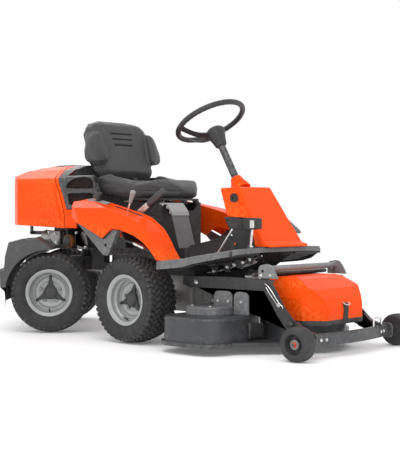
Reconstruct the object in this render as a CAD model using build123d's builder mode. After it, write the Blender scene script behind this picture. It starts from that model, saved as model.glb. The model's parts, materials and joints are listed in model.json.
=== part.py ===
"""Articulated ride-on mower with a front cutting deck, driven from a seat ahead of the engine.

Millimetres. +Z is up, -Y is forward and +X is the machine's left side.
The origin is on the ground, straight below the centre of the front axle.
"""

import os
from math import cos, radians, sin, sqrt

from build123d import *

os.makedirs("parts", exist_ok=True)

# Running gear
tyre_radius = 201
tyre_width = 164
tyre_wall = 9
rim_flange_radius = 116.5
rim_seat_radius = 102
rim_barrel_radius = 88
rim_width = 140
rim_sheet = 5
disc_depth = 58
hub_radius = 28
hub_length = 42
axle_radius = 15
axle_gap = 4
running_gap = 0.05
front_track = 720
rear_track = 630
wheelbase = 884
trail = 149

# Steering
steer_now = 41.9
kingpin_radius = 30
column_lean = 30
wheel_centre_y = -148
wheel_centre_z = 1040
wheel_radius = 166
wheel_grip_radius = 14
column_radius = 17.5
steer_shaft_radius = 9

# Frame and platform
rail_x = 70
rail_width = 40
rail_low = 300
rail_high = 346
frame_front_y = -460
frame_rear_y = 600
engine_plate_z = 415
engine_plate_thick = 6
floor_half_width = 440
floor_front_half_width = 300
floor_rear_y = -212
floor_bend_y = -372
floor_front_y = -600
floor_rear_z = 386
floor_bend_z = 402
floor_front_z = 452
floor_thick = 5
skirt_depth = 36

# Body panels
panel = 4
fender_inner_x = 300
fender_outer_x = 430
hood_half_width = 285
hood_front_y = 640
hood_rear_y = 1085
hood_low = 530
hood_top = 848
hood_gap = 4
hood_hinge_y = 1075
hood_hinge_z = 492
hood_swing = 486
hood_pin_radius = 5
hood_arm_x = 92

# Seat
stand_half_width = 140
seat_half_width = 240
seat_hinge_y = -20
seat_hinge_z = 652

# Deck
deck_half_width = 525
deck_low = 34
deck_top = 159
deck_wall = 4
lobe_radius = 190
lobe_y = -700
side_spindle_x = 330
side_spindle_y = -450
spindle_radius = 12
side_blade_length = 310
centre_blade_length = 340
blade_z = 62
pulley_radius = 60
belt_cover_top = 196
arm_x = 255
arm_width = 26
lift_pivot_y = -240
lift_pivot_z = 290
deck_wheel_x = 375
deck_wheel_y = -953
deck_wheel_radius = 72
deck_wheel_width = 70
deck_axle_radius = 8
bail_radius = 5
bail_y = -975
bail_hinge_z = 111
bail_right_x = 145
bail_left_x = 205
bail_pin_radius = 2.5

# Pedals, each given by its pivot (x, y, z)
reverse_pivot = (-262, -424, 421)
drive_pivot = (-205, -566, 452)
brake_pivot = (225, -440, 424)
pedal_boss_radius = 6.5
pedal_boss_length = 20
pedal_pin_radius = 3

pivot_y = wheelbase - trail
lean = radians(column_lean)
steer_plane = Plane(
    origin=(0, wheel_centre_y, wheel_centre_z), x_dir=(1, 0, 0), z_dir=(0, sin(lean), cos(lean))
)


def write(piece, label):
    """Name a finished piece and write its file."""
    piece.label = label
    export_step(piece, f"parts/{label}.step")


def side_plane(x):
    """Plane across the machine at x: its own x runs along +Y and its y runs up."""
    return Plane(origin=(x, 0, 0), x_dir=(0, 1, 0), z_dir=(1, 0, 0))


def carriage_plane(origin, x_dir, z_dir):
    """A plane given in the carriage's straight-ahead frame, swung about the kingpin by the steering angle."""
    swung = [Vector(*v).rotate(Axis.Z, steer_now) for v in (origin, x_dir, z_dir)]
    return Plane(origin=swung[0] + Vector(0, pivot_y, 0), x_dir=swung[1], z_dir=swung[2])


def envelope(side_view, plan, front_view=None, wall=0):
    """The solid common to a side view (y, z), a plan (x, y) and a front view (x, z), each shrunk by wall."""
    reach = 1400
    with BuildPart() as solid:
        with BuildSketch(side_plane(-reach)):
            Polygon(*side_view, align=None)
            if wall:
                offset(amount=-wall, kind=Kind.INTERSECTION, mode=Mode.REPLACE)
        extrude(amount=2 * reach)
        with BuildSketch(Plane.XY):
            Polygon(*plan, align=None)
            if wall:
                offset(amount=-wall, kind=Kind.INTERSECTION, mode=Mode.REPLACE)
        extrude(amount=reach, mode=Mode.INTERSECT)
        if front_view:
            with BuildSketch(Plane.XZ.offset(-reach)):
                Polygon(*front_view, align=None)
                if wall:
                    offset(amount=-wall, kind=Kind.INTERSECTION, mode=Mode.REPLACE)
            extrude(amount=2 * reach, mode=Mode.INTERSECT)
    return solid.part


def open_below(inside, depth):
    """An inner envelope and its copy lowered by depth, to cut a shell open at the bottom."""
    return [inside, inside.moved(Location((0, 0, -depth)))]


def mirrored(points):
    """A right-hand outline, from the centre line outwards and back, closed by its mirror image."""
    return list(points) + [(-x, y) for x, y in reversed(points)]


# ---------------------------------------------------------------- main frame
with BuildPart() as main_frame:
    for side in (-1, 1):
        with BuildSketch(Plane.XY.offset(rail_low)):
            with Locations((side * rail_x, (frame_front_y + frame_rear_y) / 2)):
                Rectangle(rail_width, frame_rear_y - frame_front_y)
        extrude(amount=rail_high - rail_low)
    for y in (frame_front_y + 20, -250, 300, frame_rear_y - 20):
        with BuildSketch(Plane.XY.offset(rail_low + 5)):
            with Locations((0, y)):
                Rectangle(2 * rail_x, 40)
        extrude(amount=rail_high - rail_low - 10)
    # Posts carry the engine plate above the swinging rear wheels.
    for side in (-1, 1):
        with BuildSketch(Plane.XY.offset(rail_high)):
            with Locations((side * rail_x, frame_rear_y - 50)):
                Rectangle(rail_width, 90)
        extrude(amount=engine_plate_z - rail_high)
    with BuildSketch(Plane.XY.offset(engine_plate_z)):
        with Locations((0, 690)):
            RectangleRounded(400, 420, 30)
    extrude(amount=engine_plate_thick)
    # A bearer rises from the rails to the front of the floor.
    with BuildSketch(side_plane(-rail_x - rail_width / 2)):
        Polygon(
            (frame_front_y + 30, rail_high),
            (frame_front_y, rail_high),
            (-585, 428),
            (-585, 440),
            (frame_front_y + 30, 406),
            align=None,
        )
    extrude(amount=2 * rail_x + rail_width)
    # Ears beside the rails hold the deck's lift arms.
    for side in (-1, 1):
        with BuildSketch(Plane.XY.offset(lift_pivot_z + 12)):
            with Locations((side * (rail_x + arm_x - arm_width / 2 - 2) / 2, lift_pivot_y)):
                Rectangle(arm_x - arm_width / 2 - 2 - rail_x, 40)
        extrude(amount=30)
        with BuildSketch(side_plane(side * (arm_x - arm_width / 2 - 8))):
            with Locations((lift_pivot_y, lift_pivot_z + 10)):
                SlotOverall(80, 50, rotation=90)
        extrude(amount=side * 6)
        with BuildSketch(side_plane(side * (arm_x - arm_width / 2 - 2))):
            with Locations((lift_pivot_y, lift_pivot_z)):
                Circle(10)
        extrude(amount=side * (arm_width + 4))
    # Two arms behind the engine plate hold the hood's hinge pins above the swinging guards.
    for side in (-1, 1):
        with BuildSketch(side_plane(side * (hood_arm_x - 4))):
            Polygon(
                (870, engine_plate_z + engine_plate_thick),
                (900, engine_plate_z + engine_plate_thick),
                (985, hood_hinge_z - 10),
                (hood_hinge_y + 5, hood_hinge_z - 10),
                (hood_hinge_y + 9, hood_hinge_z),
                (hood_hinge_y + 3, hood_hinge_z + 10),
                (975, hood_hinge_z + 10),
                (870, engine_plate_z + engine_plate_thick + 15),
                align=None,
            )
        extrude(amount=side * 8)
        with BuildSketch(side_plane(side * hood_arm_x)):
            with Locations((hood_hinge_y, hood_hinge_z)):
                Circle(hood_pin_radius)
        extrude(amount=side * 22)
write(main_frame.part, "main_frame")

with BuildPart() as kingpin:
    with BuildSketch(Plane.XY.offset(290)):
        with Locations((0, pivot_y)):
            Circle(kingpin_radius)
    extrude(amount=engine_plate_z - 290)
    with BuildSketch(Plane.XY.offset(282)):
        with Locations((0, pivot_y)):
            Circle(kingpin_radius + 12)
    extrude(amount=8)
write(kingpin.part, "kingpin")

with BuildPart() as front_axle:
    with BuildSketch(Plane.XY.offset(tyre_radius - 75)):
        RectangleRounded(150, 190, 25)
    extrude(amount=rail_low - tyre_radius + 75)
    fillet(front_axle.edges().group_by(Axis.Z)[0], radius=18)
    shoulder = front_track / 2 + rim_width / 2 - disc_depth - hub_length
    with BuildSketch(Plane.YZ.offset(-shoulder + axle_gap)):
        with Locations((0, tyre_radius)):
            Circle(34)
    extrude(amount=2 * (shoulder - axle_gap))
    with BuildSketch(Plane.YZ.offset(-shoulder - hub_length)):
        with Locations((0, tyre_radius)):
            Circle(axle_radius)
    extrude(amount=2 * (shoulder + hub_length))
write(front_axle.part, "front_axle")


# ---------------------------------------------------------------- wheels
def wheel_parts(name, plane, side):
    """A tyre, a rim and a hub cap about the plane's own x axis; side is +1 or -1, outboard."""
    spin = Axis(plane.origin, plane.x_dir)
    half = tyre_width / 2
    lip = rim_width / 2
    with BuildPart() as tyre:
        with BuildSketch(plane):
            with BuildLine():
                outer = Polyline(
                    (-lip + 2, rim_seat_radius),
                    (-lip + 2, rim_flange_radius + 3),
                    (-half, tyre_radius - 50),
                    (-half + 4, tyre_radius - 16),
                )
                crown = ThreePointArc(
                    outer @ 1, (0, tyre_radius), (half - 4, tyre_radius - 16)
                )
                down = Polyline(
                    crown @ 1,
                    (half, tyre_radius - 50),
                    (lip - 2, rim_flange_radius + 3),
                    (lip - 2, rim_seat_radius),
                    (lip - 12, rim_seat_radius),
                    (lip - 12, rim_flange_radius + 6),
                    (half - tyre_wall, tyre_radius - 50),
                    (half - tyre_wall - 12, tyre_radius - 22),
                    (-half + tyre_wall + 12, tyre_radius - 22),
                    (-half + tyre_wall, tyre_radius - 50),
                    (-lip + 12, rim_flange_radius + 6),
                    (-lip + 12, rim_seat_radius),
                    (-lip + 2, rim_seat_radius),
                )
            make_face()
        revolve(axis=spin)
    write(tyre.part, f"{name}_tyre")

    disc = side * (lip - disc_depth)
    with BuildPart() as rim:
        with BuildSketch(plane):
            with BuildLine():
                Polyline(
                    (-lip, rim_flange_radius),
                    (-lip + 2, rim_flange_radius),
                    (-lip + 2, rim_seat_radius),
                    (-lip + 22, rim_seat_radius),
                    (-lip + 30, rim_barrel_radius + rim_sheet),
                    (lip - 36, rim_barrel_radius + rim_sheet),
                    (lip - 26, rim_seat_radius),
                    (lip - 2, rim_seat_radius),
                    (lip - 2, rim_flange_radius),
                    (lip, rim_flange_radius),
                    (lip, rim_seat_radius - 4),
                    (lip - 28, rim_seat_radius - 4),
                    (lip - 38, rim_barrel_radius),
                    (-lip + 32, rim_barrel_radius),
                    (-lip + 22, rim_seat_radius - 4),
                    (-lip, rim_seat_radius - 4),
                    close=True,
                )
            make_face()
            with BuildLine():
                Polyline(
                    (disc, axle_radius + running_gap),
                    (disc, hub_radius + 10),
                    (disc + side * 6, rim_barrel_radius - 22),
                    (disc + side * 2, rim_barrel_radius + 2),
                    (disc - side * rim_sheet, rim_barrel_radius + 2),
                    (disc - side * rim_sheet, hub_radius),
                    (disc - side * hub_length, hub_radius),
                    (disc - side * hub_length, axle_radius + running_gap),
                    close=True,
                )
            make_face()
        revolve(axis=spin)
    write(rim.part, f"{name}_rim")

    cap_plane = Plane(
        origin=plane.from_local_coords((disc, 0, 0)),
        x_dir=plane.z_dir,
        z_dir=plane.x_dir * side,
    )
    with BuildPart() as cap:
        with BuildSketch(cap_plane):
            Circle(34)
        extrude(amount=20)
        with BuildSketch(cap_plane.offset(7)):
            for turn in (0, 120, 240):
                with BuildLine(Plane.XY.rotated((0, 0, turn))):
                    Polyline((-20, 20), (-9, 82), (9, 82), (20, 20), close=True)
                make_face()
        extrude(amount=9)
    write(cap.part, f"{name}_hub_cap")


for side, word in ((-1, "right"), (1, "left")):
    front_plane = Plane(
        origin=(side * front_track / 2, 0, tyre_radius), x_dir=(1, 0, 0), z_dir=(0, -1, 0)
    )
    wheel_parts(f"front_{word}", front_plane, side)
    rear_plane = carriage_plane((side * rear_track / 2, trail, tyre_radius), (1, 0, 0), (0, -1, 0))
    wheel_parts(f"rear_{word}", rear_plane, side)


# ---------------------------------------------------------------- rear carriage
def carriage_level(z):
    """A level plane at height z in the steered carriage."""
    return carriage_plane((0, 0, z), (1, 0, 0), (0, 0, 1))


def carriage_side(x):
    """An upright fore-and-aft plane at x in the steered carriage."""
    return carriage_plane((x, 0, 0), (0, 1, 0), (1, 0, 0))


yoke_low = 300
yoke_high = 360
with BuildPart() as carriage_frame:
    with BuildSketch(carriage_level(yoke_low)):
        Circle(kingpin_radius + 24)
        with Locations((0, 110)):
            Rectangle(150, 190)
        Circle(kingpin_radius + running_gap, mode=Mode.SUBTRACT)
    extrude(amount=yoke_high - yoke_low)
    # A bar behind the wheels carries the guards and the towing plate.
    for x in (-60, 60):
        with BuildSketch(carriage_side(x - 8)):
            with Locations((293, 300)):
                Rectangle(114, 40)
        extrude(amount=16)
    with BuildSketch(carriage_level(280)):
        with Locations((0, 360)):
            Rectangle(440, 24)
    extrude(amount=40)
    with BuildSketch(carriage_level(288)):
        with Locations((0, 396)):
            RectangleRounded(70, 60, 12)
        with Locations((0, 408)):
            Circle(6.5, mode=Mode.SUBTRACT)
    extrude(amount=8)
write(carriage_frame.part, "carriage_frame")

rear_shoulder = rear_track / 2 + rim_width / 2 - disc_depth - hub_length
with BuildPart() as rear_transaxle:
    with BuildSketch(carriage_level(tyre_radius - 70)):
        with Locations((0, trail)):
            RectangleRounded(140, 170, 25)
    extrude(amount=yoke_low - tyre_radius + 70)
    fillet(rear_transaxle.edges().group_by(Axis.Z)[0], radius=18)
    with BuildSketch(carriage_side(-rear_shoulder + axle_gap)):
        with Locations((trail, tyre_radius)):
            Circle(32)
    extrude(amount=2 * (rear_shoulder - axle_gap))
    with BuildSketch(carriage_side(-rear_shoulder - hub_length)):
        with Locations((trail, tyre_radius)):
            Circle(axle_radius)
    extrude(amount=2 * (rear_shoulder + hub_length))
write(rear_transaxle.part, "rear_transaxle")

with BuildPart() as steering_sector:
    with BuildSketch(carriage_level(yoke_high)):
        with Locations((0, 0)):
            Circle(95)
            Circle(kingpin_radius + 4, mode=Mode.SUBTRACT)
    extrude(amount=12)
write(steering_sector.part, "steering_sector")

guard_gap = 14
with BuildPart() as rear_guards:
    for side in (-1, 1):
        with BuildSketch(carriage_side(side * 222)):
            with BuildLine():
                Polyline(
                    (trail - 16, 425),
                    (trail + 62, 474),
                    (trail + 198, 452),
                    (trail + 222, 322),
                    (trail + 243, 322),
                    (trail + 243, 228),
                    (trail - 16, 228),
                    close=True,
                )
            make_face()
            with Locations((trail, tyre_radius)):
                Circle(tyre_radius + guard_gap, mode=Mode.SUBTRACT)
            with Locations((trail - 60, 250)):
                Rectangle(120, 330, mode=Mode.SUBTRACT)
        extrude(amount=side * 190)
        with BuildSketch(carriage_side(side * 222)):
            with BuildLine():
                Polyline(
                    (trail + 70, 466),
                    (trail + 190, 446),
                    (trail + 214, 322),
                    (trail + 214, 300),
                    (trail + 195, 318),
                    (trail + 165, 365),
                    (trail + 120, 410),
                    close=True,
                )
            make_face()
        extrude(amount=side * 184, mode=Mode.SUBTRACT)
write(rear_guards.part, "rear_guards")

# ---------------------------------------------------------------- engine
with BuildPart() as engine_block:
    with BuildSketch(Plane.XY.offset(engine_plate_z + engine_plate_thick)):
        with Locations((0, 740)):
            RectangleRounded(230, 250, 20)
    extrude(amount=110)
    for side in (-1, 1):
        for fin in range(7):
            with BuildSketch(Plane.YZ.offset(side * (118 + 12 * fin))):
                with Locations((720, 480)):
                    RectangleRounded(110, 96, 12)
            extrude(amount=side * 5)
        with BuildSketch(Plane.YZ.offset(side * 112)):
            with Locations((720, 480)):
                Circle(36)
        extrude(amount=side * 92)
write(engine_block.part, "engine_block")

with BuildPart() as cooling_shroud:
    with BuildSketch(Plane.XY.offset(engine_plate_z + engine_plate_thick + 110)):
        with Locations((0, 740)):
            Circle(140)
    extrude(amount=70, taper=8)
write(cooling_shroud.part, "cooling_shroud")

with BuildPart() as muffler:
    with BuildSketch(Plane.YZ.offset(-150)):
        with Locations((930, 620)):
            Circle(52)
    extrude(amount=300)
    fillet(muffler.edges(), radius=10)
    with BuildSketch(Plane.XY.offset(engine_plate_z + 136)):
        with Locations((-60, 930)):
            Circle(14)
    extrude(amount=30)
write(muffler.part, "muffler")

with BuildPart() as fuel_tank:
    with BuildSketch(Plane.XY.offset(430)):
        with Locations((228, 290)):
            RectangleRounded(120, 200, 25)
    extrude(amount=130)
    with BuildSketch(Plane.XY.offset(560)):
        with Locations((228, 290)):
            Circle(26)
    extrude(amount=22)
write(fuel_tank.part, "fuel_tank")

# ---------------------------------------------------------------- platform
floor_side = [
    (-110, floor_rear_z),
    (floor_rear_y, floor_rear_z),
    (floor_bend_y, floor_bend_z),
    (floor_front_y, floor_front_z),
    (floor_front_y, floor_front_z - skirt_depth + 12),
    (floor_bend_y, floor_bend_z - skirt_depth),
    (floor_rear_y, floor_rear_z - skirt_depth),
    (-110, floor_rear_z - skirt_depth),
]
floor_plan = mirrored(
    [
        (-150, floor_front_y),
        (-floor_front_half_width, floor_front_y + 25),
        (-floor_half_width, -425),
        (-floor_half_width, floor_rear_y),
        (-fender_inner_x + 40, floor_rear_y),
        (-fender_inner_x + 40, -110),
    ]
)
with BuildPart() as footplate:
    add(envelope(floor_side, floor_plan))
    for cut in open_below(envelope(floor_side, floor_plan, wall=floor_thick), 2.4 * floor_thick):
        add(cut, mode=Mode.SUBTRACT)
    # Each pedal turns on a pin between two lugs.
    for x, y, z in (reverse_pivot, drive_pivot, brake_pivot):
        for side in (-1, 1):
            with BuildSketch(Plane.YZ.offset(x + side * (pedal_boss_length / 2 + 1))):
                with Locations((y, z - 1)):
                    Rectangle(14, 18)
            extrude(amount=side * 4)
        with BuildSketch(Plane.YZ.offset(x - pedal_boss_length / 2 - 2)):
            with Locations((y, z)):
                Circle(pedal_pin_radius)
        extrude(amount=pedal_boss_length + 4)
write(footplate.part, "footplate")

cover_side = [
    (-304, 717),
    (-425, 722),
    (-586, 470),
    (-620, 462),
    (-620, floor_front_z + 1),
    (-540, floor_front_z + 1),
    (-499, 579),
    (-361, 589),
]
cover_front = [(-150, 440), (-112, 730), (112, 730), (150, 440)]
cover_plan = [(-160, -640), (160, -640), (160, -300), (-160, -300)]
with BuildPart() as column_cover:
    add(envelope(cover_side, cover_plan, cover_front))
    for cut in open_below(envelope(cover_side, cover_plan, cover_front, wall=panel), 3 * panel):
        add(cut, mode=Mode.SUBTRACT)
    with BuildSketch(steer_plane.offset(-125)):
        Circle(column_radius + 13)
    extrude(amount=-240)
    with BuildSketch(steer_plane.offset(-125)):
        Circle(column_radius + 60)
    extrude(amount=-165, mode=Mode.SUBTRACT)
    with BuildSketch(steer_plane):
        Circle(column_radius)
    extrude(amount=-620, mode=Mode.SUBTRACT)
write(column_cover.part, "column_cover")

with BuildPart() as steering_column:
    with BuildSketch(steer_plane.offset(-140)):
        Circle(column_radius)
        Circle(steer_shaft_radius + running_gap, mode=Mode.SUBTRACT)
    extrude(amount=-310)
write(steering_column.part, "steering_column")

tunnel_side = [
    (-115, floor_rear_z + 1),
    (-115, 433),
    (-150, 446),
    (-410, 498),
    (-362, 583),
    (-492, 573),
    (-532, floor_front_z + 1),
    (-560, floor_front_z + 1),
    (floor_bend_y, floor_bend_z + 1),
    (floor_rear_y, floor_rear_z + 1),
]
tunnel_plan = [(-100, -560), (100, -560), (150, -400), (150, -115), (-150, -115), (-150, -400)]
with BuildPart() as tunnel_cover:
    add(envelope(tunnel_side, tunnel_plan))
    for cut in open_below(envelope(tunnel_side, tunnel_plan, wall=panel), 3 * panel):
        add(cut, mode=Mode.SUBTRACT)
write(tunnel_cover.part, "tunnel_cover")

knee_side = [(-20, 648), (-54, 608), (-108, 434), (-98, 434), (-44, 604), (-14, 641), (30, 641), (30, 648)]
with BuildPart() as knee_covers:
    with BuildSketch(side_plane(-170)):
        Polygon(*knee_side, align=None)
    extrude(amount=110)
write(knee_covers.part, "knee_covers")

# ---------------------------------------------------------------- fenders and side plates
fender_side = [
    (462, 640),
    (441, 654),
    (347, 666),
    (201, 640),
    (-41, 580),
    (-140, 516),
    (-236, floor_rear_z + 4),
    (-206, floor_rear_z + 4),
    (-154, 443),
    (-96, 482),
    (-22, 510),
    (85, 530),
    (151, 484),
    (354, 566),
    (462, 600),
]
fender_plan = [
    (-fender_inner_x, -240),
    (-fender_inner_x, 440),
    (-fender_inner_x - 20, 462),
    (-fender_outer_x + 30, 400),
    (-fender_outer_x, 330),
    (-fender_outer_x, -240),
]
fender_front = [
    (-fender_inner_x, 300),
    (-fender_inner_x, 700),
    (-fender_inner_x - 50, 660),
    (-fender_outer_x + 14, 625),
    (-fender_outer_x, 590),
    (-fender_outer_x, 300),
]
fender_hollow = [
    (440, 600),
    (436, 646),
    (347, 658),
    (203, 632),
    (-37, 572),
    (-132, 510),
    (-210, 410),
    (-190, 395),
    (-100, 400),
    (85, 400),
    (151, 400),
    (440, 400),
]
for side, word in ((-1, "right"), (1, "left")):
    shell = envelope(fender_side, fender_plan, fender_front)
    hollow = envelope(
        fender_hollow,
        [(x + panel, y - panel if y > 0 else y) for x, y in fender_plan],
        [(x + panel, z - panel) for x, z in fender_front],
    )
    with BuildPart() as fender:
        add(shell)
        add(hollow, mode=Mode.SUBTRACT)
        if side < 0:
            with BuildSketch(Plane.XY.offset(500)):
                with Locations((-330, 75)):
                    SlotOverall(190, 14, rotation=90)
            extrude(amount=200, mode=Mode.SUBTRACT)
        else:
            mirror(about=Plane.YZ, mode=Mode.REPLACE)
    write(fender.part, f"{word}_fender")

with BuildPart() as side_plates:
    for side in (-1, 1):
        with BuildSketch(side_plane(side * 414)):
            Polygon((350, 560), (150, 404), (128, 404), (63, 521), (86, 526), (151, 479), align=None)
            with Locations((140, 450)):
                Circle(9, mode=Mode.SUBTRACT)
        extrude(amount=side * 4)
        with BuildSketch(Plane.YZ.offset(side * stand_half_width)):
            with Locations((139, 419)):
                Rectangle(22, 28)
        extrude(amount=side * (414 - stand_half_width))
write(side_plates.part, "side_plates")

with BuildPart() as control_plate:
    with BuildSketch(side_plane(-358)):
        Polygon((212, 643), (342, 666.5), (342, 670.5), (212, 647), align=None)
    extrude(amount=54)
write(control_plate.part, "control_plate")

# ---------------------------------------------------------------- engine bay panels
hood_front_view = [
    (-hood_half_width, 300),
    (-hood_half_width, 757),
    (-180, hood_top - 18),
    (-110, hood_top),
    (110, hood_top),
    (180, hood_top - 18),
    (hood_half_width, 757),
    (hood_half_width, 300),
]
intake_side = [
    (356, 622),
    (356, 716),
    (396, 792),
    (600, hood_top),
    (697, hood_top),
    (hood_front_y - hood_gap, 757),
    (578 - hood_gap, 622),
]
intake_plan = [(-300, 300), (300, 300), (300, 800), (-300, 800)]
with BuildPart() as intake_panel:
    add(envelope(intake_side, intake_plan, hood_front_view))
    for cut in open_below(envelope(intake_side, intake_plan, hood_front_view, wall=panel), 40):
        add(cut, mode=Mode.SUBTRACT)
    # The seat back leans into a bay between the two side wings.
    with BuildSketch(Plane.XY.offset(600)):
        with Locations((0, 450)):
            Rectangle(2 * (seat_half_width + 14), 300)
    extrude(amount=300, mode=Mode.SUBTRACT)
    with BuildSketch(side_plane(-320)):
        Polygon((386, 768), (376, 721), (584, 724), (570, 752), align=None)
        Polygon((376, 700), (376, 640), (556, 640), (572, 700), align=None)
    extrude(amount=640, mode=Mode.SUBTRACT)
write(intake_panel.part, "intake_panel")


def hinge_arc(radius):
    """Side-view points on a circle about the hood's hinge, from the hood's lower edge up to its shoulder."""
    heights = (hood_low - 6, 585, 640, 700, 757)
    return [(hood_hinge_y - sqrt(radius**2 - (z - hood_hinge_z) ** 2), z) for z in heights]


hood_side = [
    *hinge_arc(hood_swing),
    (728, hood_top),
    (930, hood_top - 8),
    (1040, 790),
    (hood_rear_y, 600),
    (hood_rear_y, hood_low + 12),
    (960, hood_low + 6),
]
hood_plan = mirrored(
    [(0, 480), (-hood_half_width, 480), (-hood_half_width, 960), (-235, 1055), (-150, hood_rear_y), (0, hood_rear_y)]
)
with BuildPart() as hood_shell:
    add(envelope(hood_side, hood_plan, hood_front_view))
    hood_inside = envelope(hood_side, hood_plan, hood_front_view, wall=panel)
    for cut in open_below(hood_inside, 40):
        add(cut, mode=Mode.SUBTRACT)
    add(hood_inside.moved(Location((0, -3 * panel, 0))), mode=Mode.SUBTRACT)
    for side in (-1, 1):
        with BuildSketch(side_plane(side * (hood_arm_x + 7))):
            with Locations((hood_hinge_y, hood_hinge_z)):
                Circle(11)
            Polygon(
                (hood_hinge_y - 11, hood_hinge_z),
                (hood_hinge_y - 11, hood_low + 40),
                (hood_rear_y - 2, hood_low + 40),
                (hood_rear_y - 2, hood_low + 14),
                (hood_hinge_y + 9, hood_low),
                (hood_hinge_y + 11, hood_hinge_z),
                align=None,
            )
            with Locations((hood_hinge_y, hood_hinge_z)):
                Circle(hood_pin_radius + running_gap, mode=Mode.SUBTRACT)
        extrude(amount=side * 7)
write(hood_shell.part, "hood_shell")

frame_side = [
    (500, hood_low - 6),
    (500, 618),
    (578, 618),
    (hood_front_y, 757),
    (hood_front_y + 60, hood_top),
    (728 - hood_gap, hood_top),
    *reversed(hinge_arc(hood_swing + hood_gap)),
]
with BuildPart() as hood_frame:
    add(envelope(frame_side, intake_plan, hood_front_view))
    with BuildSketch(Plane.XZ.offset(-900)):
        Polygon(
            (-hood_half_width + panel, 300),
            (-hood_half_width + panel, 755),
            (-178, hood_top - 18 - panel),
            (-108, hood_top - panel),
            (108, hood_top - panel),
            (178, hood_top - 18 - panel),
            (hood_half_width - panel, 755),
            (hood_half_width - panel, 300),
            align=None,
        )
    extrude(amount=500, mode=Mode.SUBTRACT)
write(hood_frame.part, "hood_frame")

# ---------------------------------------------------------------- seat and its stand
ear_inner_x = 34
ear_thick = 10
with BuildPart() as seat_stand:
    with BuildSketch(side_plane(-stand_half_width)):
        Polygon((42, rail_high), (42, 654), (360, 654), (380, rail_high), align=None)
    extrude(amount=2 * stand_half_width)
    with BuildSketch(side_plane(-stand_half_width + 6)):
        Polygon((48, 200), (48, 648), (354, 648), (374, 200), align=None)
    extrude(amount=2 * stand_half_width - 12, mode=Mode.SUBTRACT)
    with BuildSketch(side_plane(-200)):
        with Locations((205, 500)):
            RectangleRounded(180, 180, 30)
    extrude(amount=400, mode=Mode.SUBTRACT)
    # Two arms run forward beside the knee cover to the seat's hinge pins.
    with BuildSketch(Plane.XY.offset(612)):
        with Locations((0, 70)):
            Rectangle(2 * (ear_inner_x + ear_thick + 8), 40)
    extrude(amount=30)
    for side in (-1, 1):
        with BuildSketch(side_plane(side * (ear_inner_x + ear_thick + 2))):
            Polygon(
                (90, 612),
                (90, 642),
                (seat_hinge_y + 5, seat_hinge_z + 6),
                (seat_hinge_y - 7, seat_hinge_z - 4),
                (10, 612),
                align=None,
            )
            with Locations((seat_hinge_y, seat_hinge_z)):
                Circle(8.5)
        extrude(amount=side * 6)
        with BuildSketch(side_plane(side * (ear_inner_x - 4))):
            with Locations((seat_hinge_y, seat_hinge_z)):
                Circle(5)
        extrude(amount=side * (ear_thick + 10))
write(seat_stand.part, "seat_stand")

with BuildPart() as seat_pan:
    with BuildSketch(side_plane(-190)):
        Polygon(
            (-40, 671), (140, 673), (391, 699), (468, 781), (474, 776), (397, 691), (140, 663), (-40, 661),
            align=None,
        )
    extrude(amount=380)
    with BuildSketch(Plane.XY.offset(600)):
        Polygon(*mirrored([(-48, -24), (-105, 24), (-160, 76), (-190, 110), (-190, 490)]), align=None)
    extrude(amount=300, mode=Mode.INTERSECT)
    for side in (-1, 1):
        with BuildSketch(side_plane(side * ear_inner_x)):
            with Locations((seat_hinge_y, seat_hinge_z)):
                Circle(10)
            Polygon(
                (seat_hinge_y - 3, seat_hinge_z),
                (seat_hinge_y - 3, seat_hinge_z + 13),
                (seat_hinge_y + 30, seat_hinge_z + 13),
                (seat_hinge_y + 9, seat_hinge_z - 4),
                align=None,
            )
            with Locations((seat_hinge_y, seat_hinge_z)):
                Circle(5 + running_gap, mode=Mode.SUBTRACT)
        extrude(amount=side * ear_thick)
write(seat_pan.part, "seat_pan")

cushion_side = [
    (-28, 694),
    (-10, 674),
    (140, 674),
    (390, 700),
    (425, 738),
    (400, 790),
    (330, 772),
    (150, 752),
    (64, 764),
    (10, 748),
    (-20, 722),
]
cushion_plan = mirrored(
    [
        (-50, -28),
        (-110, 20),
        (-165, 72),
        (-205, 115),
        (-232, 165),
        (-seat_half_width, 230),
        (-seat_half_width, 330),
        (-210, 450),
    ]
)
with BuildPart() as seat_cushion:
    add(envelope(cushion_side, cushion_plan))
    fillet(seat_cushion.edges().filter_by(Axis.Z), radius=20)
write(seat_cushion.part, "seat_cushion")

back_side = [(403, 798), (424, 748), (474, 790), (500, 806), (552, 1060), (528, 1088), (498, 1070), (440, 900)]
back_front = mirrored(
    [
        (-170, 740),
        (-200, 790),
        (-seat_half_width, 850),
        (-seat_half_width, 900),
        (-218, 1010),
        (-170, 1068),
        (-100, 1088),
    ]
)
back_plan = [(-260, 380), (260, 380), (260, 455), (190, 560), (-190, 560), (-260, 455)]
with BuildPart() as seat_back:
    add(envelope(back_side, back_plan, back_front))
    for side in (-1, 1):
        with BuildSketch(Plane.XZ.offset(-398)):
            Polygon(
                (side * 158, 800),
                (side * 205, 812),
                (side * 232, 860),
                (side * 226, 940),
                (side * 200, 1010),
                (side * 168, 1010),
                align=None,
            )
        extrude(amount=-70)
write(seat_back.part, "seat_back")

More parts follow.
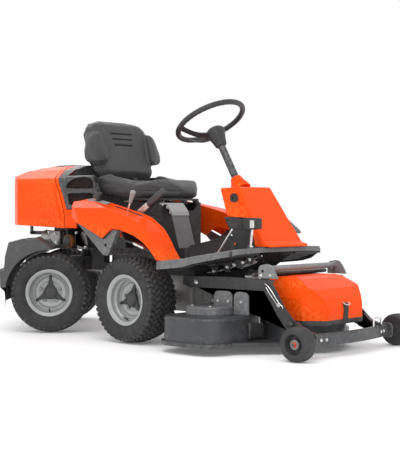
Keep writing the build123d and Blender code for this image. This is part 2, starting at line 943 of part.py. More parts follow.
# ---------------------------------------------------------------- steering wheel
with BuildPart() as steering_wheel:
    with BuildSketch(side_plane(0)):
        with Locations(
            (wheel_centre_y - wheel_radius * cos(lean), wheel_centre_z + wheel_radius * sin(lean))
        ):
            Circle(wheel_grip_radius)
    revolve(axis=Axis(steer_plane.origin, steer_plane.z_dir))
    with BuildSketch(steer_plane.offset(-78)):
        Circle(44)
    extrude(amount=16)
    for turn in (25, 90, 155):
        outward = steer_plane.x_dir.rotate(Axis((0, 0, 0), steer_plane.z_dir), turn)
        across = outward.cross(steer_plane.z_dir)
        with BuildSketch(Plane(origin=steer_plane.origin, x_dir=outward, z_dir=across).offset(-14)):
            Polygon(
                (30, -76), (90, -68), (wheel_radius, -8), (wheel_radius, 4), (84, -56), (30, -64), align=None
            )
        extrude(amount=28)
write(steering_wheel.part, "steering_wheel")

with BuildPart() as steering_hub:
    with BuildSketch(steer_plane.offset(-79)):
        Circle(40)
    extrude(amount=-56, taper=14)
    with BuildSketch(steer_plane.offset(-100)):
        Circle(steer_shaft_radius)
    extrude(amount=-340)
write(steering_hub.part, "steering_hub")

# ---------------------------------------------------------------- deck carrier
with BuildPart() as lift_arms:
    for side in (-1, 1):
        with BuildSketch(side_plane(side * (arm_x - arm_width / 2))):
            Polygon(
                (lift_pivot_y + 20, lift_pivot_z + 24),
                (lift_pivot_y + 24, lift_pivot_z - 12),
                (lift_pivot_y - 10, lift_pivot_z - 24),
                (-690, 268),
                (-760, 170),
                (-830, 90),
                (-925, 58),
                (-953, 58),
                (-953, 104),
                (-890, 122),
                (-800, 208),
                (-728, 316),
                (-480, 322),
                align=None,
            )
            with Locations((lift_pivot_y, lift_pivot_z)):
                Circle(10 + running_gap, mode=Mode.SUBTRACT)
        extrude(amount=side * arm_width)
    for y, z, radius in ((-520, 296, 14), (-630, 334, 9)):
        with BuildSketch(Plane.YZ.offset(-arm_x)):
            with Locations((y, z)):
                Circle(radius)
        extrude(amount=2 * arm_x)
write(lift_arms.part, "lift_arms")

with BuildPart() as carry_handle:
    for side in (-1, 1):
        with BuildSketch(side_plane(side * (arm_x - 4))):
            with BuildLine():
                low = Polyline((-652, 322), (-652, 356), (-672, 380))
                ThreePointArc(low @ 1, (-730, 366), (-758, 322))
                Line((-758, 322), (-652, 322))
            make_face()
        extrude(amount=side * 8)
    with BuildSketch(Plane.YZ.offset(-arm_x)):
        with Locations((-690, 362)):
            Circle(13)
    extrude(amount=2 * arm_x)
write(carry_handle.part, "carry_handle")

beam_outer = 995
with BuildPart() as front_beam:
    with BuildSketch(Plane.XY.offset(52)):
        with BuildLine():
            front = ThreePointArc((-290, -955), (0, -beam_outer), (290, -955))
            Line(front @ 1, (290, -949))
            back = ThreePointArc((290, -949), (0, -beam_outer + 8), (-290, -949))
            Line(back @ 1, front @ 0)
        make_face()
    extrude(amount=50)
    for side in (-1, 1):
        with BuildSketch(Plane.YZ.offset(side * 282)):
            with Locations((-952, 77)):
                RectangleRounded(64, 50, 10)
        extrude(amount=side * 8)
        with BuildSketch(Plane.YZ.offset(side * 290)):
            with Locations((deck_wheel_y, deck_wheel_radius)):
                Circle(13)
        extrude(amount=side * (deck_wheel_x - deck_wheel_width / 2 - 1 - 290))
        with BuildSketch(Plane.YZ.offset(side * 300)):
            with Locations((deck_wheel_y, deck_wheel_radius)):
                Circle(deck_axle_radius)
        extrude(amount=side * (deck_wheel_x + 12 - 300))
    # The bail's legs turn on stub pins from two lugs inside it.
    for leg_x, inward in ((bail_right_x, 1), (bail_left_x, -1)):
        with BuildSketch(side_plane(leg_x + inward * (bail_radius + 1))):
            Polygon((bail_y - 9, 98), (bail_y + 9, 98), (bail_y + 7, 116), (bail_y - 7, 116), align=None)
        extrude(amount=inward * 4)
        with BuildSketch(side_plane(leg_x + inward * (bail_radius + 2))):
            with Locations((bail_y, bail_hinge_z)):
                Circle(bail_pin_radius)
        extrude(amount=-inward * 2 * (bail_radius + 1))
write(front_beam.part, "front_beam")

with BuildPart() as latch_bail:
    foot = bail_hinge_z - 5
    with BuildLine() as bail_path:
        FilletPolyline(
            (bail_right_x, bail_y, foot),
            (bail_right_x, bail_y, 142),
            (bail_left_x, bail_y, 142),
            (bail_left_x, bail_y, foot),
            radius=14,
        )
    with BuildSketch(Plane.XY.offset(foot)):
        with Locations((bail_right_x, bail_y)):
            Circle(bail_radius)
    sweep(path=bail_path.wires()[0])
    with BuildSketch(Plane.YZ.offset(bail_right_x - 20)):
        with Locations((bail_y, bail_hinge_z)):
            Circle(bail_pin_radius + running_gap)
    extrude(amount=bail_left_x - bail_right_x + 40, mode=Mode.SUBTRACT)
write(latch_bail.part, "latch_bail")

for side, word in ((-1, "right"), (1, "left")):
    hub = Plane(
        origin=(side * deck_wheel_x, deck_wheel_y, deck_wheel_radius), x_dir=(1, 0, 0), z_dir=(0, -1, 0)
    )
    half = deck_wheel_width / 2
    with BuildPart() as deck_wheel:
        with BuildSketch(hub):
            with BuildLine():
                rise = Polyline(
                    (-half, deck_axle_radius + running_gap),
                    (-half, 48),
                    (-half + 4, deck_wheel_radius - 10),
                )
                tread = ThreePointArc(rise @ 1, (0, deck_wheel_radius), (half - 4, deck_wheel_radius - 10))
                Polyline(tread @ 1, (half, 48), (half, 40), (half - 26, 36), (half - 26, 22), (half - 12, 20))
                Polyline((half - 12, 20), (half - 12, deck_axle_radius + running_gap), rise @ 0)
            make_face()
        revolve(axis=Axis(hub.origin, hub.x_dir))
        if side < 0:
            mirror(about=Plane.YZ.offset(side * deck_wheel_x), mode=Mode.REPLACE)
    write(deck_wheel.part, f"{word}_deck_wheel")

# ---------------------------------------------------------------- cutting deck
def deck_outline(inset):
    """The plan of the deck, a wide body with a round lobe ahead of it, inside the current sketch."""
    with Locations((0, -455)):
        RectangleRounded(2 * (deck_half_width - inset), 330 - 2 * inset, 100 - inset)
    with Locations((0, lobe_y)):
        Circle(lobe_radius - inset)


with BuildPart() as deck_shell:
    with BuildSketch(Plane.XY.offset(deck_low)):
        deck_outline(0)
    extrude(amount=deck_top - deck_low)
    fillet(deck_shell.faces().sort_by(Axis.Z)[-1].edges(), radius=16)
    with BuildSketch(Plane.XY.offset(deck_low - 1)):
        deck_outline(deck_wall)
    extrude(amount=deck_top - deck_low - deck_wall - 8, mode=Mode.SUBTRACT)
    with BuildSketch(Plane.XY.offset(deck_low)):
        deck_outline(-14)
        Polygon((-430, -610), (-170, -850), (170, -850), (430, -610), align=None)
        deck_outline(deck_wall)
        with Locations((0, -455)):
            RectangleRounded(
                2 * (deck_half_width - deck_wall), 330 - 2 * deck_wall, 96, mode=Mode.SUBTRACT
            )
        with Locations((0, lobe_y)):
            Circle(lobe_radius - deck_wall, mode=Mode.SUBTRACT)
    extrude(amount=18)
    with BuildSketch(Plane.XY.offset(deck_low)):
        with Locations((-side_spindle_x, side_spindle_y), (side_spindle_x, side_spindle_y), (0, lobe_y)):
            Circle(spindle_radius + running_gap)
    extrude(amount=deck_top, mode=Mode.SUBTRACT)
write(deck_shell.part, "deck_shell")

for name, x, y, length in (
    ("right", -side_spindle_x, side_spindle_y, side_blade_length),
    ("centre", 0, lobe_y, centre_blade_length),
    ("left", side_spindle_x, side_spindle_y, side_blade_length),
):
    with BuildPart() as blade:
        with BuildSketch(Plane.XY.offset(blade_z)):
            with Locations((x, y)):
                RectangleRounded(50, length, 8)
        extrude(amount=4)
        with BuildSketch(Plane.XY.offset(blade_z - 10)):
            with Locations((x, y)):
                Circle(18)
        extrude(amount=30)
        with BuildSketch(Plane.XY.offset(blade_z)):
            with Locations((x, y)):
                Circle(spindle_radius)
        extrude(amount=deck_top + 24 - blade_z)
        with BuildSketch(Plane.XY.offset(deck_top + 6)):
            with Locations((x, y)):
                Circle(pulley_radius)
        extrude(amount=20)
    write(blade.part, f"{name}_blade")

with BuildPart() as belt_cover:
    with BuildSketch(Plane.XY.offset(deck_top + 1)):
        with Locations((0, -432)):
            RectangleRounded(820, 196, 60)
        with Locations((0, lobe_y)):
            Circle(110)
        with Locations((0, -580)):
            Rectangle(120, 120)
    extrude(amount=belt_cover_top - deck_top - 1)
    fillet(belt_cover.faces().sort_by(Axis.Z)[-1].edges(), radius=10)
    with BuildSketch(Plane.XY.offset(deck_top)):
        with Locations((0, -432)):
            RectangleRounded(812, 188, 56)
        with Locations((0, lobe_y)):
            Circle(106)
        with Locations((0, -580)):
            Rectangle(112, 120)
    extrude(amount=belt_cover_top - deck_top - 5, mode=Mode.SUBTRACT)
    # Upright belt guards stand on the cover and on the deck beside each lift arm.
    for side in (-1, 1):
        for y, low, width in ((-476, belt_cover_top - 1, 104), (-580, deck_top + 1, 82)):
            with BuildSketch(side_plane(side * 280)):
                with BuildLine():
                    foot = Polyline(
                        (y - width / 2, 238), (y - width / 2, low), (y + width / 2, low), (y + width / 2, 238)
                    )
                    ThreePointArc(foot @ 1, (y, 260), foot @ 0)
                make_face()
            extrude(amount=side * 8)
write(belt_cover.part, "belt_cover")

nose_rear_y = -712
nose_side = [
    (-600, 322),
    (-863, 328),
    (-915, 250),
    (-930, 190),
    (-925, 140),
    (-600, 140),
]
nose_front = mirrored([(-198, 100), (-198, 240), (-150, 330)])
nose_plan = mirrored([(-199, -600), (-199, -840), (-120, -932)])
with BuildPart() as deck_cover:
    add(envelope(nose_side, nose_plan, nose_front))
    for cut in open_below(envelope(nose_side, nose_plan, nose_front, wall=panel), 20):
        add(cut, mode=Mode.SUBTRACT)
    with BuildSketch(Plane.XY.offset(100)):
        with Locations((0, nose_rear_y + 100)):
            Rectangle(500, 200)
    extrude(amount=300, mode=Mode.SUBTRACT)
write(deck_cover.part, "deck_cover")

# ---------------------------------------------------------------- levers and pedals
def lever_plane(x, y, z, lean):
    """Plane on a lever's pivot: its x runs across the machine, its z runs up the lever."""
    return Plane(origin=(x, y, z), x_dir=(1, 0, 0), z_dir=(0, -sin(radians(lean)), cos(radians(lean))))


lift_x = -280
lift_plane = lever_plane(lift_x, 96, 576, 58)
with BuildPart() as lift_lever:
    with BuildSketch(side_plane(lift_x - 5)):
        with Locations((96, 576)):
            Circle(20)
            Circle(8 + running_gap, mode=Mode.SUBTRACT)
    extrude(amount=10)
    with BuildSketch(lift_plane.offset(14)):
        RectangleRounded(9, 30, 2)
    extrude(amount=106)
    with BuildSketch(lift_plane.offset(120)):
        RectangleRounded(27, 34, 10)
    extrude(amount=125)
write(lift_lever.part, "lift_lever")

height_x = -330
height_plane = lever_plane(height_x, 106, 545, 22)
with BuildPart() as height_lever:
    with BuildSketch(side_plane(height_x - 5)):
        with Locations((106, 545)):
            Circle(12)
            Circle(5 + running_gap, mode=Mode.SUBTRACT)
    extrude(amount=10)
    with BuildSketch(height_plane.offset(9)):
        Circle(4.5)
    extrude(amount=110)
    with BuildSketch(height_plane.offset(112)):
        Circle(9)
    extrude(amount=62, taper=-6)
write(height_lever.part, "height_lever")

with BuildPart() as lever_pivots:
    with BuildSketch(Plane.YZ.offset(lift_x - 16)):
        with Locations((96, 576)):
            Circle(8)
    extrude(amount=-stand_half_width - lift_x + 16)
    with BuildSketch(Plane.YZ.offset(height_x - 9)):
        with Locations((106, 545)):
            Circle(5)
    extrude(amount=lift_x - 12 - height_x + 9)
    with BuildSketch(side_plane(lift_x - 16)):
        with Locations((101, 560)):
            RectangleRounded(36, 66, 8)
    extrude(amount=4)
write(lever_pivots.part, "lever_pivots")

throttle_x = -330
with BuildPart() as throttle_lever:
    with BuildSketch(side_plane(throttle_x - 3)):
        with Locations((285, 671)):
            Circle(8)
    extrude(amount=6)
    with BuildSketch(Plane(origin=(throttle_x, 285, 672), x_dir=(1, 0, 0), z_dir=(0, -0.38, 0.925))):
        RectangleRounded(6, 12, 2)
    extrude(amount=14)
    with BuildSketch(Plane(origin=(throttle_x, 280, 684), x_dir=(1, 0, 0), z_dir=(0, -0.38, 0.925))):
        RectangleRounded(26, 28, 8)
    extrude(amount=20)
write(throttle_lever.part, "throttle_lever")


def pedal_rod(pivot, tip, radius):
    """A straight round rod from a pivot (x, y, z) to a tip (y, z), with a bored cross boss at the pivot."""
    x, y, z = pivot
    run = Vector(0, tip[0] - y, tip[1] - z)
    with BuildPart() as rod:
        with BuildSketch(Plane(origin=pivot, x_dir=(1, 0, 0), z_dir=run.normalized())):
            Circle(radius)
        extrude(amount=run.length)
        with BuildSketch(Plane.YZ.offset(x - pedal_boss_length / 2)):
            with Locations((y, z)):
                Circle(pedal_boss_radius)
        extrude(amount=pedal_boss_length)
        with BuildSketch(Plane.YZ.offset(x - pedal_boss_length)):
            with Locations((y, z)):
                Circle(pedal_pin_radius + running_gap)
        extrude(amount=2 * pedal_boss_length, mode=Mode.SUBTRACT)
    return rod.part


with BuildPart() as reverse_pedal:
    add(pedal_rod(reverse_pivot, (-514, 540), 5))
    with BuildSketch(Plane(origin=(reverse_pivot[0], -514, 538), x_dir=(1, 0, 0), z_dir=(0, -0.3, 0.954))):
        Circle(26)
    extrude(amount=20)
write(reverse_pedal.part, "reverse_pedal")

with BuildPart() as drive_pedal:
    add(pedal_rod(drive_pivot, (-575, 526), 6))
    with BuildSketch(side_plane(drive_pivot[0] - 27)):
        Polygon((-532, 522), (-532, 578), (-612, 580), (-612, 530), align=None)
    extrude(amount=54)
write(drive_pedal.part, "drive_pedal")

with BuildPart() as brake_pedal:
    add(pedal_rod(brake_pivot, (-452, 508), 6))
    with BuildSketch(side_plane(brake_pivot[0] - 30)):
        Polygon((-408, 506), (-414, 566), (-424, 566), (-498, 512), (-490, 502), align=None)
    extrude(amount=66)
write(brake_pedal.part, "brake_pedal")
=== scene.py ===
"""Visual model of an articulated ride-on mower with a front deck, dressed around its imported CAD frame.

Outlines and sizes are in millimetres and are scaled by MM as they become meshes; +Z is up, -Y is forward.
"""

import json
from math import atan2, cos, exp, hypot, pi, radians, sin, tau

import bmesh
import bpy
from mathutils import Matrix, Vector


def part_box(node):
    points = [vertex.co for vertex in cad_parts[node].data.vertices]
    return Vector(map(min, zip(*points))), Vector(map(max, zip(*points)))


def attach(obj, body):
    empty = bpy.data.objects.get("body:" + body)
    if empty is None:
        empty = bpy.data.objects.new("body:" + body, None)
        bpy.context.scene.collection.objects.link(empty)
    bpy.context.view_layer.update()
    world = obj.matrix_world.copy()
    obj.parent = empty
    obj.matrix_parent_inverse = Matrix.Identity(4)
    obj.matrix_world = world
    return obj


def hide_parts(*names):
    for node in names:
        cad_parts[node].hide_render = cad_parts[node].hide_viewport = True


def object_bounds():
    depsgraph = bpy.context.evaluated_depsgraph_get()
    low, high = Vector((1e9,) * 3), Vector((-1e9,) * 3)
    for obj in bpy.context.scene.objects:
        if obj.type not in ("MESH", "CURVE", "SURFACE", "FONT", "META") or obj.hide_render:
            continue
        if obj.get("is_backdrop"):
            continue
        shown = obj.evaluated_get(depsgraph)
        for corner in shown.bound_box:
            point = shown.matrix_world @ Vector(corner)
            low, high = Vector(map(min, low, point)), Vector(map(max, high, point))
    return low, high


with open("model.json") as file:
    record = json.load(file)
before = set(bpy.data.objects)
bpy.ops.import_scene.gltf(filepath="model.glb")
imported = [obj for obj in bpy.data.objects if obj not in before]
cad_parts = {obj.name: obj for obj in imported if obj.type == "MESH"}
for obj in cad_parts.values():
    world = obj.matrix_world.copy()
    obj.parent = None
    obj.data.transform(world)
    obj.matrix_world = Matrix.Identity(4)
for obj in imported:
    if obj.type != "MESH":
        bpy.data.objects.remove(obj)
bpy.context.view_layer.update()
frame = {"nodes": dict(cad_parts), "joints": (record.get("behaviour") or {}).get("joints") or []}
MM = 0.001
joints = {joint["name"]: joint for joint in frame["joints"]}

# ---------------------------------------------------------------- studio
# A white paper sweep under the machine and a pale sky light all round. One large soft lamp hangs over the
# operator's right shoulder and a weaker one fills the deck side, so the undersides stay dark.
eye = Vector((-3.826, -3.549, 0.611))
aim = Vector((0.088, 0.0, 0.524))
camera = bpy.data.objects.new("camera", bpy.data.cameras.new("camera"))
camera.data.sensor_width = 36
camera.data.lens = 84.05
camera.location = eye
camera.rotation_euler = (aim - eye).to_track_quat("-Z", "Y").to_euler()
bpy.context.scene.collection.objects.link(camera)
bpy.context.scene.camera = camera
bpy.context.scene.view_settings.view_transform = "Standard"

sky = bpy.data.worlds.new("studio_sky")
sky.use_nodes = True
sky.node_tree.nodes["Background"].inputs["Color"].default_value = (1.0, 1.0, 1.0, 1)
sky.node_tree.nodes["Background"].inputs["Strength"].default_value = 1.0
bpy.context.scene.world = sky

for name, place, size, power in (
    ("softbox_high", (-2.2, -1.2, 4.2), 2.6, 62),
    ("softbox_rear", (1.5, 3.2, 3.0), 2.0, 25),
    ("softbox_deck", (-3.5, -4.2, 1.6), 1.6, 16),
):
    lamp = bpy.data.objects.new(name, bpy.data.lights.new(name, "AREA"))
    lamp.data.energy = power
    lamp.data.size = size
    lamp.location = place
    lamp.rotation_euler = (Vector((0, 0, 0.4)) - lamp.location).to_track_quat("-Z", "Y").to_euler()
    bpy.context.scene.collection.objects.link(lamp)

paper = bpy.data.materials.new("paper_sweep")
paper.use_nodes = True
paper_shader = paper.node_tree.nodes["Principled BSDF"]
paper_shader.inputs["Base Color"].default_value = (0.93, 0.93, 0.93, 1)
paper_shader.inputs["Emission Color"].default_value = (1.0, 1.0, 1.0, 1)
paper_shader.inputs["Emission Strength"].default_value = 0.09
paper_shader.inputs["Roughness"].default_value = 0.8
paper_shader.inputs["Specular IOR Level"].default_value = 0.1
floor_mesh = bpy.data.meshes.new("studio_floor")
reach = 30.0
floor_mesh.from_pydata(
    [(-reach, -reach, 0), (reach, -reach, 0), (reach, reach, 0), (-reach, reach, 0)], [], [(0, 1, 2, 3)]
)
floor_mesh.materials.append(paper)
floor = bpy.data.objects.new("studio_floor", floor_mesh)
bpy.context.scene.collection.objects.link(floor)
floor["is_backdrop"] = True


# ---------------------------------------------------------------- chassis
# Two box-section rails welded to cross members carry every other piece; the kingpin at their rear end is
# turned steel. Both are sprayed satin black after welding, so the coat is slightly uneven and dusty.
def finish(name, colour, rough, metal=0.0, patch=0.10, patch_size=9.0, worn=None, grain=0.08,
           grain_size=900.0,
           coat=0.0, sheen=0.0, weave=0.0):
    """A finish whose tone drifts over the piece, with rubbed edges and a fine surface grain."""
    made = bpy.data.materials.new(name)
    made.use_nodes = True
    tree = made.node_tree
    shader = tree.nodes["Principled BSDF"]
    shader.inputs["Metallic"].default_value = metal
    shader.inputs["Coat Weight"].default_value = coat
    shader.inputs["Coat Roughness"].default_value = 0.12
    shader.inputs["Sheen Weight"].default_value = sheen
    spot = tree.nodes.new("ShaderNodeTexCoord").outputs["Object"]

    def noise(size, detail):
        node = tree.nodes.new("ShaderNodeTexNoise")
        node.inputs["Scale"].default_value = size
        node.inputs["Detail"].default_value = detail
        tree.links.new(spot, node.inputs["Vector"])
        return node.outputs["Fac"]

    def blended(mix_by, first, second):
        node = tree.nodes.new("ShaderNodeMix")
        node.data_type = "RGBA"
        tree.links.new(mix_by, node.inputs["Factor"])
        for socket, value in (("A", first), ("B", second)):
            socket = [s for s in node.inputs if s.name == socket and s.type == "RGBA"][0]
            if isinstance(value, tuple):
                socket.default_value = (*value, 1)
            else:
                tree.links.new(value, socket)
        return [s for s in node.outputs if s.type == "RGBA"][0]

    def ramped(source, low, high):
        node = tree.nodes.new("ShaderNodeMapRange")
        node.inputs["From Min"].default_value = low
        node.inputs["From Max"].default_value = high
        tree.links.new(source, node.inputs["Value"])
        return node

    drift = ramped(noise(patch_size, 5.0), 0.35, 0.65).outputs["Result"]
    darker = tuple(c * (1 - patch) for c in colour)
    lighter = tuple(min(1.0, c * (1 + patch)) for c in colour)
    tone = blended(drift, darker, lighter)
    edge_colour = worn or tuple(min(1.0, c * 1.5 + 0.01) for c in colour)
    edge = tree.nodes.new("ShaderNodeNewGeometry").outputs["Pointiness"]
    rub = tree.nodes.new("ShaderNodeMath")
    rub.operation = "MULTIPLY"
    tree.links.new(ramped(edge, 0.515, 0.60).outputs["Result"], rub.inputs[0])
    tree.links.new(ramped(noise(60.0, 4.0), 0.40, 0.70).outputs["Result"], rub.inputs[1])
    tone = blended(rub.outputs["Value"], tone, edge_colour)
    tree.links.new(tone, shader.inputs["Base Color"])

    smear = ramped(noise(patch_size * 2.3, 4.0), 0.3, 0.7)
    smear.inputs["To Min"].default_value = rough * 0.82
    smear.inputs["To Max"].default_value = min(1.0, rough * 1.22)
    tree.links.new(smear.outputs["Result"], shader.inputs["Roughness"])

    bump = tree.nodes.new("ShaderNodeBump")
    bump.inputs["Strength"].default_value = grain
    bump.inputs["Distance"].default_value = 0.0006
    if weave:
        cells = tree.nodes.new("ShaderNodeTexVoronoi")
        cells.inputs["Scale"].default_value = weave
        tree.links.new(spot, cells.inputs["Vector"])
        tree.links.new(cells.outputs["Distance"], bump.inputs["Height"])
    else:
        tree.links.new(noise(grain_size, 3.0), bump.inputs["Height"])
    tree.links.new(bump.outputs["Normal"], shader.inputs["Normal"])
    return made


def dress(material, *nodes):
    """Give CAD nodes that keep their own shape a finish."""
    for node in nodes:
        data = frame["nodes"][node].data
        if not data.materials:
            data.materials.append(None)
        for slot in frame["nodes"][node].material_slots:
            slot.material = material


def to_place(x, y, z):
    """The matrix that moves a piece by x, y and z millimetres."""
    return Matrix.Translation(Vector((x, y, z)) * MM)


def span(side, inner, outer):
    """Two distances from the centre line on one side of the machine, as places across it in rising order."""
    return sorted((side * inner, side * outer))


def hulled(form, name):
    """The mesh of a finished form, its faces all turned outwards."""
    bmesh.ops.recalc_face_normals(form, faces=form.faces)
    mesh = bpy.data.meshes.new(name)
    form.to_mesh(mesh)
    form.free()
    return mesh


def prism(outline, view, low, high):
    """The solid swept from low to high across a side (y, z), plan (x, y) or front (x, z) outline."""
    places = {
        "side": lambda a, b, c: (c, a, b),
        "plan": lambda a, b, c: (a, b, c),
        "front": lambda a, b, c: (a, c, b),
    }
    form = bmesh.new()
    ends = [[form.verts.new(Vector(places[view](a, b, c)) * MM) for a, b in outline] for c in (low, high)]
    form.faces.new(ends[0])
    form.faces.new(ends[1][::-1])
    for i in range(len(outline)):
        j = (i + 1) % len(outline)
        form.faces.new((ends[0][i], ends[0][j], ends[1][j], ends[1][i]))
    return hulled(form, "prism")


def worked(mesh, *steps):
    """The mesh after modifiers, each given as its type and its settings."""
    blank = bpy.data.objects.new("blank", mesh)
    bpy.context.scene.collection.objects.link(blank)
    for kind, settings in steps:
        modifier = blank.modifiers.new(kind, kind)
        for key, value in settings.items():
            setattr(modifier, key, value)
    view = bpy.context.evaluated_depsgraph_get()
    made = bpy.data.meshes.new_from_object(blank.evaluated_get(view), depsgraph=view)
    bpy.data.objects.remove(blank)
    return made


def combined(first, second, how):
    """The union, difference or intersection of two closed meshes."""
    tool = bpy.data.objects.new("tool", second)
    bpy.context.scene.collection.objects.link(tool)
    tool.hide_render = True
    made = worked(first, ("BOOLEAN", {"object": tool, "operation": how, "solver": "EXACT"}))
    bpy.data.objects.remove(tool)
    return made


def smoothed(mesh, angle=38, weighted=True):
    """Smooth shading that keeps flat faces flat and edges over the angle sharp."""
    mesh.polygons.foreach_set("use_smooth", [True] * len(mesh.polygons))
    mesh.set_sharp_from_angle(angle=radians(angle))
    if weighted:
        mesh = worked(mesh, ("WEIGHTED_NORMAL", {"keep_sharp": True}))
    return mesh


def rounded(mesh, radius, segments=3, angle=22):
    """Every edge over the angle rolled to a radius."""
    settings = {"width": radius * MM, "segments": segments, "limit_method": "ANGLE",
                "angle_limit": radians(angle)}
    return worked(mesh, ("WELD", {"merge_threshold": 0.00005}), ("BEVEL", settings))


def merged(*meshes):
    """Several meshes as one."""
    form = bmesh.new()
    for mesh in meshes:
        form.from_mesh(mesh)
    made = bpy.data.meshes.new("merged")
    form.to_mesh(made)
    form.free()
    return made


def moved(mesh, matrix):
    """A copy of the mesh, moved."""
    made = mesh.copy()
    made.transform(matrix)
    if matrix.determinant() < 0:
        made.flip_normals()
    return made


def piece(name, mesh, body, slot, material, *nodes):
    """Set a finished mesh on a body, standing for its CAD nodes."""
    made = bpy.data.objects.new(name, mesh)
    bpy.context.scene.collection.objects.link(made)
    mesh.name = name
    mesh.materials.clear()
    mesh.materials.append(material)
    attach(made, body)
    if nodes:
        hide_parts(*nodes)
    return made


def turned(profile, steps=96):
    """A closed profile of (distance along x, radius) points, turned about the x axis."""
    form = bmesh.new()
    rings = []
    for k in range(steps):
        a = tau * k / steps
        rings.append([form.verts.new((x * MM, r * cos(a) * MM, r * sin(a) * MM)) for x, r in profile])
    for k in range(steps):
        here, there = rings[k], rings[(k + 1) % steps]
        for i in range(len(profile)):
            j = (i + 1) % len(profile)
            form.faces.new((here[i], here[j], there[j], there[i]))
    bmesh.ops.remove_doubles(form, verts=form.verts, dist=1e-6)
    return hulled(form, "turned")


def rod(points, radius, cyclic=False, order=3, sides=10):
    """A round bar bent along its points, given in millimetres."""
    curve = bpy.data.curves.new("rod", "CURVE")
    curve.dimensions = "3D"
    curve.bevel_depth = radius * MM
    curve.bevel_resolution = sides // 2 - 1
    curve.use_fill_caps = True
    spline = curve.splines.new("NURBS")
    spline.points.add(len(points) - 1)
    for point, place in zip(spline.points, points):
        point.co = (*(Vector(place) * MM), 1)
    spline.order_u = order
    spline.use_endpoint_u = not cyclic
    spline.use_cyclic_u = cyclic
    spline.resolution_u = 8
    bar = bpy.data.objects.new("rod", curve)
    bpy.context.scene.collection.objects.link(bar)
    view = bpy.context.evaluated_depsgraph_get()
    mesh = bpy.data.meshes.new_from_object(bar.evaluated_get(view), depsgraph=view)
    bpy.data.objects.remove(bar)
    return smoothed(mesh, weighted=False)


def aimed(place, direction, turn=0.0):
    """The matrix that puts a piece turned about x at a place in millimetres, with its x along a direction."""
    pointed = Vector(direction).to_track_quat("X", "Z").to_matrix().to_4x4()
    return to_place(*place) @ pointed @ Matrix.Rotation(turn, 4, "X")


def bolts(name, places, direction, size, body, slot, material, dome=False):
    """Hexagon bolt heads on washers, one at each place, sharing one piece."""
    washer = turned([(-1.2, 0), (-1.2, size * 1.25), (0.8, size * 1.25), (1.2, size * 1.15), (1.2, 0)], 24)
    if dome:
        head = turned([(0, 0), (0, size), (size * 0.4, size * 0.86), (size * 0.62, size * 0.45),
                       (size * 0.68, 0)], 20)
    else:
        head = turned([(0, 0), (0, size), (size * 0.62, size), (size * 0.74, size * 0.8), (size * 0.74, 0)],
                      6)
    both = merged(washer, head)
    every = [moved(both, aimed(place, direction, 0.3 * k)) for k, place in enumerate(places)]
    return piece(name, smoothed(merged(*every), 30, False), body, slot, material)


satin_black = finish("satin_black_frame_paint", (0.022, 0.022, 0.024), 0.5, patch=0.25,
                     worn=(0.07, 0.065, 0.06))
zinc = finish("zinc_plated_steel", (0.62, 0.62, 0.60), 0.32, metal=1.0, patch=0.12,
              patch_size=60, grain=0.05)
dress(satin_black, "main_frame", "kingpin")

# Brackets, springs and control rods hang under the floor between the rails, each bent from bright bar and
# held by plated nuts; dark cables run with them to the pedals.
cable_black = finish("black_cable_sheath", (0.018, 0.018, 0.02), 0.45, grain=0.03)
for k, (x, points, radius) in enumerate((
    (-150, [(0, -395, 352), (0, -440, 362), (0, -520, 392), (0, -585, 412)], 4.0),
    (-190, [(0, -300, 330), (0, -380, 338), (0, -470, 372), (0, -560, 402)], 3.0),
    (-120, [(0, -330, 345), (0, -400, 330), (0, -480, 356), (0, -570, 388)], 3.5),
)):
    route = [(x, y, z) for _, y, z in points]
    piece(f"control_rod_{k}", rod(route, radius), "chassis", "bright_steel", zinc if k < 2 else cable_black)
coil = []
for turn in range(61):
    a = tau * turn / 6
    coil.append((-172 + 8 * cos(a), -480 - 1.5 * turn, 358 + 8 * sin(a) + 0.52 * turn))
piece("pedal_return_spring", rod(coil, 1.4, sides=6), "chassis", "bright_steel", zinc)
bolts(
    "floor_bracket_bolts",
    [(-205, -560, 398), (-205, -520, 384), (-205, -470, 372), (-205, -430, 360), (-205, -350, 338)],
    (-1, 0, 0), 7, "chassis", "bright_steel", zinc,
)
for k, (y, z, tall) in enumerate(((-560, 396, 34), (-500, 376, 40), (-430, 358, 44), (-350, 340, 40))):
    hanger = prism(
        [(y - 22, z + tall / 2), (y - 14, z - tall / 2), (y + 16, z - tall / 2), (y + 24, z + tall / 2)],
        "side", -203, -198
    )
    piece(f"floor_hanger_{k}", smoothed(rounded(hanger, 2)), "chassis", "frame_black", satin_black)

# ---------------------------------------------------------------- axles
# The front transaxle and the steered rear one are die-cast alloy gear cases left bare, with a sand-rough
# skin; the towing yoke and the sector that steers it are cut from plate and painted black.
cast_alloy = finish("bare_cast_alloy", (0.36, 0.36, 0.35), 0.55, metal=0.7, patch=0.18,
                    grain=0.35, grain_size=420)
dress(cast_alloy, "front_axle", "rear_transaxle")
dress(satin_black, "carriage_frame", "steering_sector")
for word, body, node in (("front", "chassis", "front_axle"), ("rear", "carriage", "rear_transaxle")):
    low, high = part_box(node)
    centre = (low + high) / 2 / MM
    ribs = []
    for k in range(-3, 4):
        rib = turned([(k * 9 - 2, 30), (k * 9 - 2, 78), (k * 9 + 2, 78), (k * 9 + 2, 30)], 40)
        ribs.append(moved(rib, aimed((centre.x, centre.y, 201), (0, 0, 1))))
    piece(f"{word}_gear_case_fins", smoothed(merged(*ribs)), body, "cast_grey", cast_alloy)


# ---------------------------------------------------------------- tyres
# Four equal turf tyres of black rubber, moulded with rows of small blocks over the crown and a smooth, dull
# sidewall with one fine rib. Each sits over the bead seats of its rim and turns with it.
tyre_radius = 201
crown_radius = 194
rubber = finish("turf_tyre_rubber", (0.028, 0.028, 0.029), 0.72, patch=0.22, patch_size=14,
                worn=(0.075, 0.073, 0.07),
                grain=0.25, grain_size=700)


